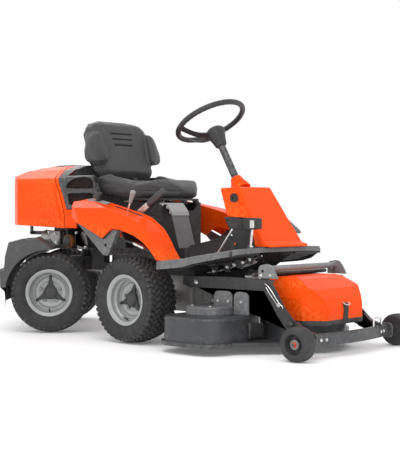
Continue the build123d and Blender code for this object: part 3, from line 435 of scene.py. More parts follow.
def flowing(points, steps=4, closed=False):
    """Points of a smooth line through the given ones."""
    count = len(points)
    line = []
    for i in range(count if closed else count - 1):
        near = [
            points[(i + k) % count] if closed else points[min(max(i + k, 0), count - 1)]
            for k in (-1, 0, 1, 2)
        ]
        for s in range(steps):
            t = s / steps
            line.append(tuple(
                0.5 * (2 * b + (c - a) * t + (2 * a - 5 * b + 4 * c - d) * t * t
                       + (3 * b - a - 3 * c + d) * t**3)
                for a, b, c, d in zip(*near)
            ))
    return line if closed else line + [points[-1]]


def crown(x):
    """Radius of the tyre's casing under the tread at a distance x from its middle."""
    return crown_radius - 12 * (x / 78) ** 2


wall_line = [(68, 114), (69, 122), (76, 133), (81, 148), (82, 162), (80.5, 163), (82, 166),
             (80, 178), (76, 184)]
outside = flowing(wall_line, 3)
outside += [(x, crown(x)) for x in (62, 48, 32, 16)]
outside += [(-x, r) for x, r in outside[::-1]]
casing = turned(outside + [(-58, 114), (-58, 122), (-70, 150), (-64, 176), (64, 176), (70, 150), (58, 122),
                           (58, 114)], 120)

blocks = bmesh.new()
pitches = 44
for row, (inner, outer, long, step) in enumerate((
    (-80, -57, 0.62, 0.5),
    (-53, -31, 0.58, 0.0),
    (-27, -3, 0.58, 0.5),
    (3, 27, 0.58, 0.0),
    (31, 53, 0.58, 0.5),
    (57, 80, 0.62, 0.0),
)):
    for k in range(pitches):
        middle = tau * (k + step) / pitches
        half = tau * long / pitches / 2
        slant = 0.22 * tau / pitches * (1 if row % 2 else -1)
        corners = []
        for rise, draw in ((-3.0, 1.0), (tyre_radius - crown_radius, 0.80)):
            for x, a in ((inner, -half), (outer, -half), (outer, half), (inner, half)):
                mid = (inner + outer) / 2
                x_at = mid + (x - mid) * draw
                a_at = middle + a * draw + slant * (1 if x > mid else -1)
                r = crown(x_at) + rise * (0.8 if abs(x_at) > 60 and rise > 0 else 1)
                corners.append(blocks.verts.new((x_at * MM, r * cos(a_at) * MM, r * sin(a_at) * MM)))
        blocks.faces.new(corners[4:])
        blocks.faces.new(corners[3::-1])
        for i in range(4):
            j = (i + 1) % 4
            blocks.faces.new((corners[i], corners[j], corners[4 + j], corners[4 + i]))
shoulder_lugs = 44
for side in (-1, 1):
    for k in range(shoulder_lugs):
        a = tau * (k + (0.5 if side < 0 else 0)) / shoulder_lugs
        wide = tau * 0.52 / shoulder_lugs / 2
        corners = []
        for x, r in ((74, 174), (83.5, 175), (82.5, 187), (74, 190)):
            for turn in (-wide, wide):
                corners.append(blocks.verts.new((side * x * MM, r * cos(a + turn) * MM,
                                                 r * sin(a + turn) * MM)))
        for i in range(4):
            j = (i + 1) % 4
            blocks.faces.new((corners[2 * i], corners[2 * j], corners[2 * j + 1], corners[2 * i + 1]))
        blocks.faces.new(corners[0::2])
        blocks.faces.new(corners[7::-2])
tread = hulled(blocks, "tread")
tyre_mesh = smoothed(merged(casing, tread), 34, False)

# ---------------------------------------------------------------- rims and hub caps
# Each rim is two steel pressings, a rolled barrel with a stepped well and a dished centre disc welded inside
# it, sprayed silver. A black moulded cap with three arms clips over the wheel nuts.
rim_silver = finish("silver_rim_paint", (0.36, 0.37, 0.37), 0.40, metal=0.25, patch=0.05, patch_size=5,
                    worn=(0.6, 0.6, 0.58), grain=0.04, coat=0.1)
cap_plastic = finish("black_hub_cap_plastic", (0.035, 0.036, 0.038), 0.42, patch=0.16, grain=0.12)
nut_steel = finish("dark_wheel_nut_steel", (0.20, 0.20, 0.20), 0.4, metal=1.0)

barrel = [
    (70, 112), (71.5, 115.5), (70, 118), (67, 117), (65.5, 112), (64, 105), (58, 102), (49, 102), (44, 98),
    (40, 94), (-36, 94), (-42, 100), (-58, 102), (-64, 105), (-66, 113), (-70, 117), (-71, 113), (-68, 104),
    (-60, 98.5), (-44, 96), (-38, 90), (30, 88), (35, 88.5), (42, 94), (47, 98), (57, 98.5),
    (62, 99.5), (67, 104),
]
disc = [
    (12, 0), (12, 38), (10, 44), (14, 56), (19, 64), (19, 74), (14, 82), (16, 89.5), (11, 89.5), (9, 82),
    (13, 73), (13, 65), (8, 56), (4, 44), (6, 34), (6, 30), (-28, 28), (-28, 0),
]
rim_mesh = merged(turned(flowing(barrel, 2, closed=True), 112), turned(disc, 96))
valve = turned([(0, 0), (0, 4.2), (4, 4.6), (14, 3.0), (15, 3.4), (26, 3.4), (28, 2.4), (28, 0)], 16)
rim_mesh = smoothed(rim_mesh, 40, False)
valve_mesh = smoothed(moved(valve, aimed((47, 0, -91), (0.9, 0, 0.43))), 40, False)

arm_line = []
for k in range(3):
    for turn, r in ((-60, 35), (-38, 36), (-19, 42), (-9, 56), (-5.5, 74), (-4, 86), (4, 86),
                    (5.5, 74), (9, 56),
                    (19, 42), (38, 36)):
        a = radians(90 + 120 * k + turn)
        arm_line.append((r * cos(a), r * sin(a)))


def drooped(mesh):
    """A part of the cap whose arms fall back towards their tips."""
    for vertex in mesh.vertices:
        spread = hypot(vertex.co.y, vertex.co.z) / MM
        vertex.co.x -= 7 * MM * min(1, max(0, (spread - 34) / 50)) ** 1.3
    return mesh


cap_plate = drooped(rounded(prism(arm_line, "side", 16, 27), 3.0, 3, 30))
dome = turned([(14, 0), (14, 33), (27, 34), (31, 32.5), (33, 30), (33, 27), (31.4, 26), (31.4, 24),
               (33.4, 23), (35, 12), (35.5, 0)], 64)
ridges = []
for k in range(3):
    ridge = prism([(-2.2, 30), (-1.2, 78), (1.2, 78), (2.2, 30)], "side", 20, 28.4)
    ridge = drooped(rounded(ridge, 0.8, 2))
    ridges.append(moved(ridge, Matrix.Rotation(tau * k / 3, 4, "X")))
cap_mesh = smoothed(merged(cap_plate, dome, *ridges), 36, False)
nuts = []
for k in range(5):
    a = tau * k / 5 + 0.3
    nut = turned([(9, 0), (9, 9), (17, 9), (19, 7.5), (19, 0)], 6)
    nuts.append(moved(nut, Matrix.Translation((0, 50 * MM * cos(a), 50 * MM * sin(a)))))
nut_mesh = smoothed(merged(*nuts), 30, False)

for name, cap_turn in (("front_right", -14), ("front_left", 14), ("rear_right", 0), ("rear_left", 0)):
    low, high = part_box(f"{name}_tyre")
    axle = Vector(joints[f"{name}_spin"]["axis"])
    outboard = axle if (axle.x > 0) == name.endswith("left") else -axle
    level = outboard.to_track_quat("X", "Z").to_matrix().to_4x4()
    here = Matrix.Translation((low + high) / 2) @ level
    body = f"{name}_wheel"
    piece(f"{name}_turf_tyre", moved(tyre_mesh, here), body, "tyre_rubber", rubber, f"{name}_tyre")
    piece(f"{name}_steel_rim", moved(rim_mesh, here), body, "rim_silver", rim_silver, f"{name}_rim")
    piece(f"{name}_valve", moved(valve_mesh, here), body, "cap_black", cap_plastic)
    piece(f"{name}_wheel_nuts", moved(nut_mesh, here), body, "frame_black", nut_steel)
    capped = here @ Matrix.Rotation(radians(cap_turn), 4, "X")
    piece(f"{name}_arm_cap", moved(cap_mesh, capped), body, "cap_black", cap_plastic, f"{name}_hub_cap")

# ---------------------------------------------------------------- rear guards
# Dark grey moulded boxes behind the steered wheels, ribbed on top and flanged along the lower edge, bolted
# to the bar of the carriage so that they swing with it.
guard_plastic = finish("grained_grey_guard_plastic", (0.055, 0.056, 0.058), 0.5, patch=0.12,
                       worn=(0.16, 0.16, 0.16),
                       grain=0.3, grain_size=1400)
trail = 149
swing = joints["rear_steer"]
kingpin = Vector(swing["pos_m"])
steer_now = radians(41.9)
carriage_here = Matrix.Translation((kingpin.x, kingpin.y, 0)) @ Matrix.Rotation(steer_now, 4, "Z")
guard_arch = [
    (trail + 216 * sin(radians(a)), tyre_radius + 216 * cos(radians(a)))
    for a in (100, 88, 76, 64, 52, 40, 28, 16, 4, -4)
]
guard_top = [(trail - 16, 425), (trail + 20, 452), (trail + 62, 474), (trail + 130, 470), (trail + 198, 452)]
guard_side = guard_top + [(trail + 214, 380), (trail + 222, 322), (trail + 243, 322), (trail + 243, 300),
                          (trail + 240, 228), (trail + 212, 228)] + guard_arch
for side, word in ((-1, "right"), (1, "left")):
    near, far = span(side, 222, 412)
    shell = rounded(prism(guard_side, "side", near, far), 11, 3, 30)
    ribs = []
    for x in (238, 396):
        rib = prism(
            [(trail + 10, 442), (trail + 60, 476), (trail + 130, 473), (trail + 200, 454),
             (trail + 219, 380),
             (trail + 219, 330), (trail + 205, 330), (trail + 190, 440), (trail + 62, 462)],
            "side", *sorted((side * (x - 5), side * (x + 5))),
        )
        ribs.append(rounded(rib, 2.5, 2))
    foot = rounded(prism([(trail + 196, 322), (trail + 246, 322), (trail + 246, 312), (trail + 196, 312)],
                         "side",
                         near - 3, far + 3), 3, 2)
    guard = moved(smoothed(merged(shell, foot, *ribs)), carriage_here)
    nodes = ("rear_guards",) if side < 0 else ()
    piece(f"{word}_rear_guard", guard, "carriage", "grey_plastic", guard_plastic, *nodes)


# ---------------------------------------------------------------- engine
# A twin-cylinder petrol engine on its plate, black enamel over rough castings, with an alloy starter
# bracket, a bright belt guard and a rust-brown clutch ring beneath the hood. Its silencer is heat-dulled
# sheet steel and the fuel tank behind the seat base is black blow-moulded plastic.
engine_enamel = finish("black_engine_enamel", (0.03, 0.03, 0.032), 0.42, patch=0.25,
                       worn=(0.12, 0.12, 0.12), grain=0.35,
                       grain_size=380)
hot_steel = finish("heat_dulled_silencer_steel", (0.20, 0.17, 0.14), 0.5, metal=0.9,
                   patch=0.35, patch_size=22)
tank_plastic = finish("blow_moulded_tank_plastic", (0.03, 0.03, 0.03), 0.6, patch=0.15,
                      grain=0.3, grain_size=500)
clutch_rust = finish("rusty_clutch_ring", (0.23, 0.085, 0.02), 0.7, metal=0.3, patch=0.3, patch_size=40)
shroud_black = finish("pressed_shroud_black", (0.035, 0.035, 0.037), 0.38, patch=0.18,
                      worn=(0.1, 0.1, 0.1), coat=0.2)
dress(engine_enamel, "engine_block")
dress(shroud_black, "cooling_shroud")
dress(hot_steel, "muffler")
dress(tank_plastic, "fuel_tank")

starter = turned([(0, 0), (0, 26), (4, 30), (74, 30), (78, 26), (90, 24), (92, 18), (92, 0)], 40)
piece("starter_motor", smoothed(moved(starter, aimed((-150, 905, 478), (0, -1, 0)))), "chassis",
      "cast_grey", cast_alloy)
clutch = turned([(-12, 20), (-12, 33), (-9, 35), (9, 35), (12, 33), (12, 20)], 56)
piece("clutch_ring", smoothed(moved(clutch, aimed((-216, 634, 456), (1, 0, 0)))), "chassis",
      "muffler_steel", clutch_rust)
drum = turned([(-24, 0), (-24, 25), (-20, 27), (-17, 24), (17, 24), (20, 27), (24, 25), (24, 0)], 56)
piece("clutch_drum", smoothed(moved(drum, aimed((-212, 634, 456), (1, 0, 0)))), "chassis",
      "engine_black", engine_enamel)
guard_bar = rod([(-208, 580, 506), (-208, 574, 426), (-208, 568, 424), (-208, 500, 422)], 5)
piece("belt_guard_bar", guard_bar, "chassis", "bright_steel", zinc)
upright = rounded(prism([(566, 508), (584, 508), (580, 438), (500, 432), (500, 420), (566, 420)],
                        "side", -218, -214), 2)
piece("belt_guard_bracket", smoothed(upright), "chassis", "cast_grey", cast_alloy)
gearbox_plate = rounded(prism([(512, 436), (530, 500), (560, 506), (562, 470), (556, 440)],
                              "side", -200, -192), 3)
piece("alloy_side_plate", smoothed(gearbox_plate), "chassis", "cast_grey", cast_alloy)
strut = rod([(-208, 824, 510), (-208, 780, 462), (-208, 742, 420)], 6)
piece("hood_support_strut", strut, "chassis", "frame_black", satin_black)
casting = rounded(prism([(806, 511), (704, 508), (700, 470), (712, 434), (738, 434), (780, 470)], "side",
                        -224, -206), 6, 3)
piece("starter_bracket", smoothed(casting), "chassis", "cast_grey", cast_alloy)
bolts("engine_bolts", [(-226, 780, 496), (-226, 730, 492), (-226, 722, 450), (-219, 574, 500),
                       (-219, 510, 426)],
      (-1, 0, 0), 6, "chassis", "bright_steel", zinc)
drag_link = rod([(-200, 520, 309), (-200, 450, 310), (-200, 396, 312)], 5)
piece("steering_drag_link", drag_link, "chassis", "bright_steel", zinc)
louvres = []
for k in range(9):
    ring_r = 58 + 7.5 * k
    ring = turned([(0, ring_r), (0, ring_r + 3), (3.5, ring_r + 3), (3.5, ring_r)], 72)
    louvres.append(moved(ring, aimed((0, 740, 601), (0, 0, 1))))
for k in range(12):
    spoke = prism([(-1.6, 50), (-1.6, 122), (1.6, 122), (1.6, 50)], "side", 0, 4.5)
    louvres.append(moved(spoke, aimed((0, 740, 601), (0, 0, 1)) @ Matrix.Rotation(tau * k / 12, 4, "X")))
piece("shroud_intake_screen", smoothed(merged(*louvres)), "chassis", "engine_black", shroud_black)

# ---------------------------------------------------------------- footplate
# One moulded floor of grained grey plastic with a deep skirt all round. It rests on the rails and a bearer,
# and raised bars across its foot wells give grip.
floor_plastic = finish("grained_floor_plastic", (0.115, 0.117, 0.12), 0.5, patch=0.07,
                       worn=(0.2, 0.2, 0.2), grain=0.35,
                       grain_size=1300)


def moulding(side_view, plan, front_view=None, radius=8.0, wall=4.0, opening=None, segments=3, angle=14):
    """A moulded skin that fills its side view, plan and front view, with rolled edges, open where asked."""
    body = combined(prism(side_view, "side", -700, 700), prism(plan, "plan", -100, 1400), "INTERSECT")
    if front_view:
        body = combined(body, prism(front_view, "front", -1400, 1400), "INTERSECT")
    if opening:
        form = bmesh.new()
        form.from_mesh(body)
        gone = [face for face in form.faces if opening(face.calc_center_median() / MM, face.normal)]
        bmesh.ops.delete(form, geom=gone, context="FACES")
        form.to_mesh(body)
        form.free()
    body = rounded(body, radius, segments, angle)
    if opening:
        body = worked(body, ("SOLIDIFY", {"thickness": wall * MM, "offset": -1.0}))
    return body


def mirrored(points):
    """A right-hand outline, from the centre line outwards and back, closed by its mirror image."""
    return list(points) + [(-x, y) for x, y in reversed(points)]


floor_side = [(-110, 386), (-212, 386), (-372, 402), (-600, 452), (-600, 428), (-372, 366),
              (-212, 350), (-110, 350)]
floor_plan = mirrored([(-150, -600), (-300, -575), (-440, -425), (-440, -212), (-260, -212), (-260, -110)])
floor_shell = moulding(floor_side, floor_plan, radius=7, wall=5,
                       opening=lambda c, n: n.z < -0.7, angle=8)


def floor_level(y):
    """Height of the floor's top at y."""
    return 386 if y > -212 else 386 + (-212 - y) * 0.1 if y > -372 else 402 + (-372 - y) * 0.2193


grips = []
for side in (-1, 1):
    for k in range(12):
        y = -226 - 16 * k
        near, far = sorted((side * 168, side * (430 if y > -400 else 300)))
        z = floor_level(y)
        grips.append(rounded(prism([(y - 4, z - 1), (y - 3, z + 1.8), (y + 3, z + 1.8), (y + 4, z - 1)],
                                   "side",
                                   near, far), 1, 1))
piece("moulded_footplate", smoothed(merged(floor_shell, *grips)), "chassis", "floor_grey",
      floor_plastic, "footplate")
floor_ribs = []
for side in (-1, 1):
    rib = prism([(-225, 356), (-372, 372), (-450, 390), (-450, 383), (-372, 364), (-225, 350)], "side",
                *span(side, 396, 402))
    floor_ribs.append(rounded(rib, 1.2, 1))
    for k in range(9):
        y = -250 - 38 * k
        z = floor_level(y)
        across = prism([(y - 2, z - 6), (y - 2, z - 30), (y + 2, z - 30), (y + 2, z - 6)], "side",
                       *sorted((side * 130, side * (425 if y > -420 else 330))))
        floor_ribs.append(across)
piece("footplate_underside_ribs", smoothed(merged(*floor_ribs)), "chassis", "floor_grey", satin_black)

# ---------------------------------------------------------------- tunnel and knee covers
# The drive under the feet runs below a black moulded tunnel that rises to the pedal bracket. A grey knee
# cover with a lighter cap bridges it to the seat base; all clip together with small push rivets.
tunnel_plastic = finish("black_tunnel_plastic", (0.022, 0.022, 0.023), 0.55, patch=0.2,
                        worn=(0.06, 0.06, 0.06),
                        grain=0.35, grain_size=1200)
knee_plastic = finish("grey_knee_plastic", (0.12, 0.122, 0.125), 0.48, patch=0.07,
                      worn=(0.2, 0.2, 0.2), grain=0.3,
                      grain_size=1300)
cap_grey = finish("light_grey_cap_plastic", (0.30, 0.31, 0.31), 0.42, patch=0.05,
                  worn=(0.42, 0.42, 0.42), grain=0.2,
                  grain_size=1300)
tunnel_side = [
    (-115, 387), (-115, 433), (-150, 446), (-410, 498), (-362, 583), (-492, 573), (-532, 453),
    (-560, 453), (-372, 403),
    (-212, 387),
]
tunnel_plan = [(-100, -560), (100, -560), (150, -400), (150, -115), (-150, -115), (-150, -400)]
tunnel = moulding(tunnel_side, tunnel_plan, radius=7, opening=lambda c, n: n.z < -0.9, angle=16)
rim_rail = []
for side in (-1, 1):
    bead = prism([(-150, 441), (-408, 493), (-406, 500), (-150, 449)], "side", *span(side, 144, 152))
    rim_rail.append(rounded(bead, 2.5, 2))
piece("moulded_tunnel", smoothed(merged(tunnel, *rim_rail)), "chassis", "black_plastic",
      tunnel_plastic, "tunnel_cover")
rivet_red = finish("red_push_rivet", (0.62, 0.06, 0.02), 0.4, patch=0.1)
bolts("tunnel_rivet", [(-151, -430, 462)], (-1, 0, 0), 4.5, "chassis", "orange_panel", rivet_red, dome=True)

knee_side = [(-20, 648), (-54, 608), (-108, 434), (-98, 434), (-44, 604), (-14, 641), (30, 641), (30, 648)]
strap = rounded(prism(knee_side, "side", -170, -60), 3.2, 3, 18)
piece("knee_strap", smoothed(strap), "chassis", "grey_plastic", knee_plastic, "knee_covers")
cap = prism([(-24, 649.5), (-58, 610), (-64, 588), (-55, 586), (-48, 602), (-16, 640),
             (26, 640), (26, 649.5)],
            "side", -173, -57)
piece("knee_cap", smoothed(rounded(cap, 3.5, 3, 18)), "chassis", "grey_plastic", cap_grey)
bolts("knee_cap_screws", [(-171, -24, 628), (-171, -44, 604), (-171, 6, 640)], (-1, 0, 0), 5,
      "chassis", "bright_steel",
      zinc, dome=True)

# ---------------------------------------------------------------- steering column
# A drawn steel tube leans back from the floor inside an orange moulded cover, whose neck grips it. The cover
# is one glossy shell with a stepped front and a cable hole in its right side.
orange_gloss = finish("glossy_orange_panel_plastic", (0.92, 0.068, 0.0008), 0.30,
                      patch=0.045, patch_size=3.5,
                      worn=(0.98, 0.16, 0.02), grain=0.035, grain_size=700, coat=0.03)
orange_gloss.node_tree.nodes["Principled BSDF"].inputs["Specular IOR Level"].default_value = 0.09
column_paint = finish("dark_column_paint", (0.032, 0.033, 0.035), 0.34, patch=0.1, worn=(0.12, 0.12, 0.12))
dress(column_paint, "steering_column")
column_top = Vector((0, -148, 1040))
column_axis = Vector(joints["steering_turn"]["axis"])
cover_side = [
    (-304, 717), (-425, 722), (-505, 596), (-508, 590), (-514, 582), (-560, 512), (-563, 506),
    (-569, 498), (-586, 470),
    (-620, 462), (-620, 453), (-540, 453), (-499, 579), (-361, 589),
]
cover_plan = [(-160, -640), (160, -640), (160, -300), (-160, -300)]
cover_front = [(-150, 440), (-112, 730), (112, 730), (150, 440)]
cover = moulding(cover_side, cover_plan, cover_front, radius=9, angle=12, segments=4,
                 opening=lambda c, n: n.z < -0.6 and c.z < 590)
neck = turned([(-378, 17.7), (-378, 50), (-362, 44), (-340, 33), (-322, 27), (-316, 25), (-315, 17.7)], 72)
neck = moved(neck, aimed(column_top, column_axis))
hole_tool = moved(turned([(-40, 0), (-40, 20), (40, 20), (40, 0)], 40),
                  aimed((-128, -400, 668), (1, 0, 0.13)))
cover = combined(cover, hole_tool, "DIFFERENCE")
piece("column_cover_shell", smoothed(merged(cover, neck)), "chassis", "orange_panel",
      orange_gloss, "column_cover")
grommet = turned([(-4, 12), (-4, 20.5), (-6, 23), (-3, 24), (2, 21), (2, 12)], 40)
grommet = moved(grommet, aimed((-119.5, -400, 668), (1, 0, 0.13)))
plug = moved(turned([(-2, 0), (-2, 15), (1, 15), (1, 0)], 32), aimed((-117, -400, 668), (1, 0, 0.13)))
piece("cable_grommet", smoothed(merged(grommet, plug)), "chassis", "black_plastic", tunnel_plastic)

# ---------------------------------------------------------------- fenders
# The two fenders are thick glossy orange mouldings that arch over the front wheels from the hood to the
# floor. The right one carries a slotted lever gate with a black liner and a grey control plate.
fender_side = [
    (462, 640), (452, 650), (432, 657), (347, 666), (268, 654), (201, 640), (80, 612),
    (-41, 580), (-96, 548),
    (-140, 516), (-190, 450), (-236, 390), (-206, 390), (-178, 420), (-154, 443), (-126, 464),
    (-96, 482), (-62, 498),
    (-22, 510), (30, 524), (85, 530), (151, 484), (354, 566), (462, 600),
]
fender_plan = [(-300, -240), (-300, 440), (-320, 462), (-400, 400), (-430, 330), (-430, -240)]
fender_front = [(-300, 300), (-300, 700), (-312, 700), (-352, 668), (-356, 660), (-416, 625),
                (-430, 590), (-430, 300)]
fender = moulding(fender_side, fender_plan, fender_front, radius=9, wall=4, segments=4, angle=15,
                  opening=lambda c, n: n.z < -0.45 or (n.x > 0.9 and c.x > -302 and c.z < 380))
# A raised lip runs along the inner top edge and a crease below it.
lip_line = [(440, 661), (347, 671), (201, 645), (80, 617), (-41, 585), (-96, 553), (-140, 521), (-190, 455)]


def ribbon(line, x_low, x_high, thick, drop=0.0):
    """A raised strip that follows a side-view line between two places across the machine."""
    under = [(y, z - thick) for y, z in line]
    strip = prism(line + under[::-1], "side", x_low, x_high)
    for vertex in strip.vertices:
        if vertex.co.x < (x_low + x_high) / 2 * MM:
            vertex.co.z -= drop * MM
    return strip


lip_strip = rounded(ribbon(flowing(lip_line, 3), -314, -300, 12), 3.5, 3, 50)
inner_wall = ribbon([(y + 4, z - 3) for y, z in flowing(lip_line[1:], 3)], -304, -299, 56)
trim = merged(lip_strip, rounded(inner_wall, 1.5, 2, 60))
gate_tool = rounded(prism([(-20, 560), (-20, 720), (170, 720), (170, 560)], "side", -337, -323), 5, 3)


def gate_ring(outer, inner, tall, low):
    """An oblong frame round the lever gate, tilted with the fender's top."""
    slope = atan2(49, 194)
    form = bmesh.new()
    loops = []
    for wide, z in ((outer, low), (outer, tall), (inner, tall), (inner, low)):
        loop = []
        for k in range(40):
            a = tau * k / 40
            along = (88 if cos(a) > 0 else -88) + wide * cos(a)
            loop.append(form.verts.new((wide * sin(a) * MM, along * MM, z * MM)))
        loops.append(loop)
    for i in range(4):
        here, there = loops[i], loops[(i + 1) % 4]
        for k in range(40):
            j = (k + 1) % 40
            form.faces.new((here[k], here[j], there[j], there[k]))
    mesh = hulled(form, "gate")
    tilt = to_place(-330, 74, 604) @ Matrix.Rotation(slope, 4, "X")
    return moved(mesh, tilt @ Matrix.Rotation(radians(-8), 4, "Y"))


right_shell = merged(combined(fender, gate_tool, "DIFFERENCE"), trim)
piece("right_fender_shell", smoothed(right_shell), "chassis", "orange_panel", orange_gloss, "right_fender")
left_shell = moved(merged(fender, trim), Matrix.Scale(-1, 4, (1, 0, 0)))
piece("left_fender_shell", smoothed(left_shell), "chassis", "orange_panel", orange_gloss, "left_fender")
piece("gate_liner", smoothed(gate_ring(9.5, 6.5, 5.0, -14)), "chassis", "black_plastic", tunnel_plastic)
brushes = gate_ring(7.0, 1.2, 1.5, -2)
piece("gate_brush_strips", smoothed(brushes), "chassis", "black_plastic", rubber)

plate_finish = finish("grey_control_plate", (0.24, 0.245, 0.25), 0.45, patch=0.08,
                      worn=(0.35, 0.35, 0.35), grain=0.2)
plate_side = [(214, 648), (342, 671.5), (342, 674), (214, 650.5)]
control = moulding(plate_side, [(-362, 214), (-356, 342), (-316, 342), (-306, 300), (-306, 230),
                                (-316, 214)], radius=1.2,
                   segments=2, angle=25)
for vertex in control.vertices:
    vertex.co.z += 0.17 * (vertex.co.x + 0.312) if vertex.co.x < -0.312 else 0
piece("throttle_plate", smoothed(control), "chassis", "grey_plastic", plate_finish, "control_plate")
boot = turned([(0, 0), (0, 15), (3, 15), (5, 11), (7, 13), (9, 9), (11, 11), (13, 7), (18, 6), (18, 0)], 40)
piece("throttle_boot", smoothed(moved(boot, aimed((-330, 284, 659), (0, -0.2, 1)))), "chassis",
      "black_plastic",
      rubber)
bolts("throttle_mark", [(-318, 328, 671.5), (-322, 318, 670)], (0, -0.18, 1), 2.6, "chassis", "orange_panel",
      rivet_red, dome=True)

# ---------------------------------------------------------------- side plates
# A folded grey sheet-steel bracket ties each fender's rear corner to the seat base. It has a cable hole and
# a rolled lower tip, and one bolt holds it.
plate_grey = finish("grey_bracket_paint", (0.12, 0.122, 0.125), 0.42, metal=0.2, patch=0.07,
                    worn=(0.3, 0.3, 0.3))
bracket_line = [(350, 560), (160, 404), (128, 404), (63, 521), (86, 526), (151, 479)]
brackets = []
for side in (-1, 1):
    sheet = rounded(prism(bracket_line, "side", *span(side, 412, 418)), 5, 3, 40)
    hole = moved(turned([(-20, 0), (-20, 9), (20, 9), (20, 0)], 32),
                 aimed((side * 415, 140, 450), (1, 0, 0)))
    sheet = combined(sheet, hole, "DIFFERENCE")
    flange = rounded(prism([(146, 402), (124, 402), (58, 521), (66, 524), (130, 408), (146, 408)], "side",
                           *span(side, 392, 418)), 2, 2)
    bar = rounded(prism([(128, 405), (150, 405), (150, 433), (128, 433)], "side",
                        *span(side, 140, 413)), 3, 2)
    brackets += [sheet, flange, bar]
piece("folded_side_brackets", smoothed(merged(*brackets), 30), "chassis", "grey_steel",
      plate_grey, "side_plates")
link = rod([(-300, 96, 480), (-300, 10, 470), (-300, -40, 462)], 5)
piece("height_control_rod", link, "chassis", "bright_steel", zinc)
cover_bit = rounded(prism([(20, 520), (-40, 505), (-60, 470), (-20, 466), (30, 488)], "side", -296, -250), 8,
                    3)
piece("linkage_cover", smoothed(cover_bit), "chassis", "orange_panel", orange_gloss)
mudguard = rounded(prism([(60, 512), (40, 470), (-70, 448), (-130, 420), (-136, 428), (-70, 458),
                          (34, 480), (52, 514)],
                         "side", -396, -300), 3, 2)
piece("inner_wheel_liner", smoothed(mudguard), "chassis", "black_plastic", tunnel_plastic)
latch_plate = rounded(prism([(-40, 470), (-110, 448), (-112, 436), (-44, 456)], "side", -418, -392), 3, 2)
piece("liner_bracket", smoothed(latch_plate), "chassis", "bright_steel", zinc)

# ---------------------------------------------------------------- engine bay panels
# The hood is one deep glossy orange moulding hinged at its rear, with a black vent strip let into its top.
# Ahead of it stands a fixed orange frame and a dark intake panel whose side windows are closed with wire
# mesh.
hood_half = 285
hood_front_view = mirrored([(-hood_half, 300), (-hood_half, 560), (-hood_half + 4, 566),
                            (-hood_half + 4, 757),
                            (-272, 778), (-196, 826), (-176, 826), (-150, 838), (-108, 848)])
hood_pivot = Vector(joints["hood_hinge"]["pos_m"]) / MM


def hinge_arc(radius):
    """The side-view points where a split line at this radius about the hood's hinge crosses set heights."""
    return [
        (hood_pivot.y - (radius ** 2 - (z - hood_pivot.z) ** 2) ** 0.5, z)
        for z in (524, 585, 640, 700, 757)
    ]


hood_side = [
    *hinge_arc(486), (728, 848), (850, 846), (930, 840), (990, 820), (1040, 790), (1064, 715),
    (1080, 625), (1085, 600),
    (1085, 542), (1050, 538), (960, 536),
]
hood_plan = mirrored([(0, 480), (-hood_half, 480), (-hood_half, 960), (-276, 985),
                      (-235, 1055), (-218, 1068),
                      (-150, 1085), (0, 1085)])
hood = moulding(hood_side, hood_plan, hood_front_view, radius=11, segments=4, angle=11,
                opening=lambda c, n: (n.z < -0.8 and c.z < 560) or n.y < -0.5)
ears = []
for side in (-1, 1):
    ear = rounded(prism([(1064, 492), (1066, 570), (1084, 570), (1086, 492), (1083, 484), (1075, 481),
                         (1067, 484)], "side",
                        *span(side, 99, 106)), 1.2, 2, 40)
    eye_hole = turned([(-9, 0), (-9, 5.1), (9, 5.1), (9, 0)], 24)
    ears.append(combined(ear, moved(eye_hole, to_place(side * 102, 1075, 492)), "DIFFERENCE"))
piece("orange_hood", smoothed(hood), "hood", "orange_panel", orange_gloss, "hood_shell")
piece("hood_hinge_ears", smoothed(merged(*ears)), "hood", "frame_black", satin_black)
vent_grey = finish("dark_vent_plastic", (0.033, 0.034, 0.036), 0.45, patch=0.12,
                   worn=(0.13, 0.13, 0.13), grain=0.3,
                   grain_size=1200)
vent_side = [(716, 846), (722, 851), (850, 852), (930, 844), (990, 826), (986, 820), (930, 836), (850, 844)]
vent = moulding(vent_side, mirrored([(-104, 700), (-104, 960), (-84, 992)]), radius=2.5,
                segments=2, angle=20)
slats = []
for k in range(9):
    y = 742 + 24 * k
    z = 852 if y < 850 else 852 - (y - 850) * 0.1
    slats.append(rounded(prism([(y, z - 4), (y, z + 2), (y + 13, z + 2), (y + 16, z - 4)], "side", -88, 88),
                         1.5, 2))
piece("hood_vent_strip", smoothed(merged(vent, *slats)), "hood", "grey_plastic", vent_grey)
for side, word in ((-1, "right"), (1, "left")):
    crease = rod([(side * 285, 612, 545), (side * 285, 646, 640), (side * 285, 672, 735)], 2.2)
    piece(f"{word}_hood_crease", crease, "hood", "orange_panel", orange_gloss)

intake_side = [(356, 622), (356, 716), (396, 792), (600, 848), (697, 848), (636, 757), (574, 622)]
frame_plan = [(-300, 300), (300, 300), (300, 800), (-300, 800)]
intake = moulding(intake_side, frame_plan, hood_front_view, radius=9, segments=3, angle=14,
                  opening=lambda c, n: n.z < -0.8 or n.y > 0.5)
bay = prism([(-254, 200), (254, 200), (254, 600), (-254, 600)], "plan", 560, 900)
intake = combined(intake, bay, "DIFFERENCE")
bulkhead = prism(mirrored([(-262, 560), (-262, 768), (-190, 820), (-108, 842)]), "front", 599, 604)
windows = (
    [(384, 768), (372, 721), (584, 724), (572, 752), (520, 776), (440, 782)],
    [(378, 700), (378, 640), (556, 640), (572, 700)],
)
for window in windows:
    cut = rounded(prism(window, "side", -330, 330), 8, 3, 20)
    intake = combined(intake, cut, "DIFFERENCE")
piece("intake_surround", smoothed(merged(intake, bulkhead)), "chassis", "grey_plastic",
      vent_grey, "intake_panel")
collars = []
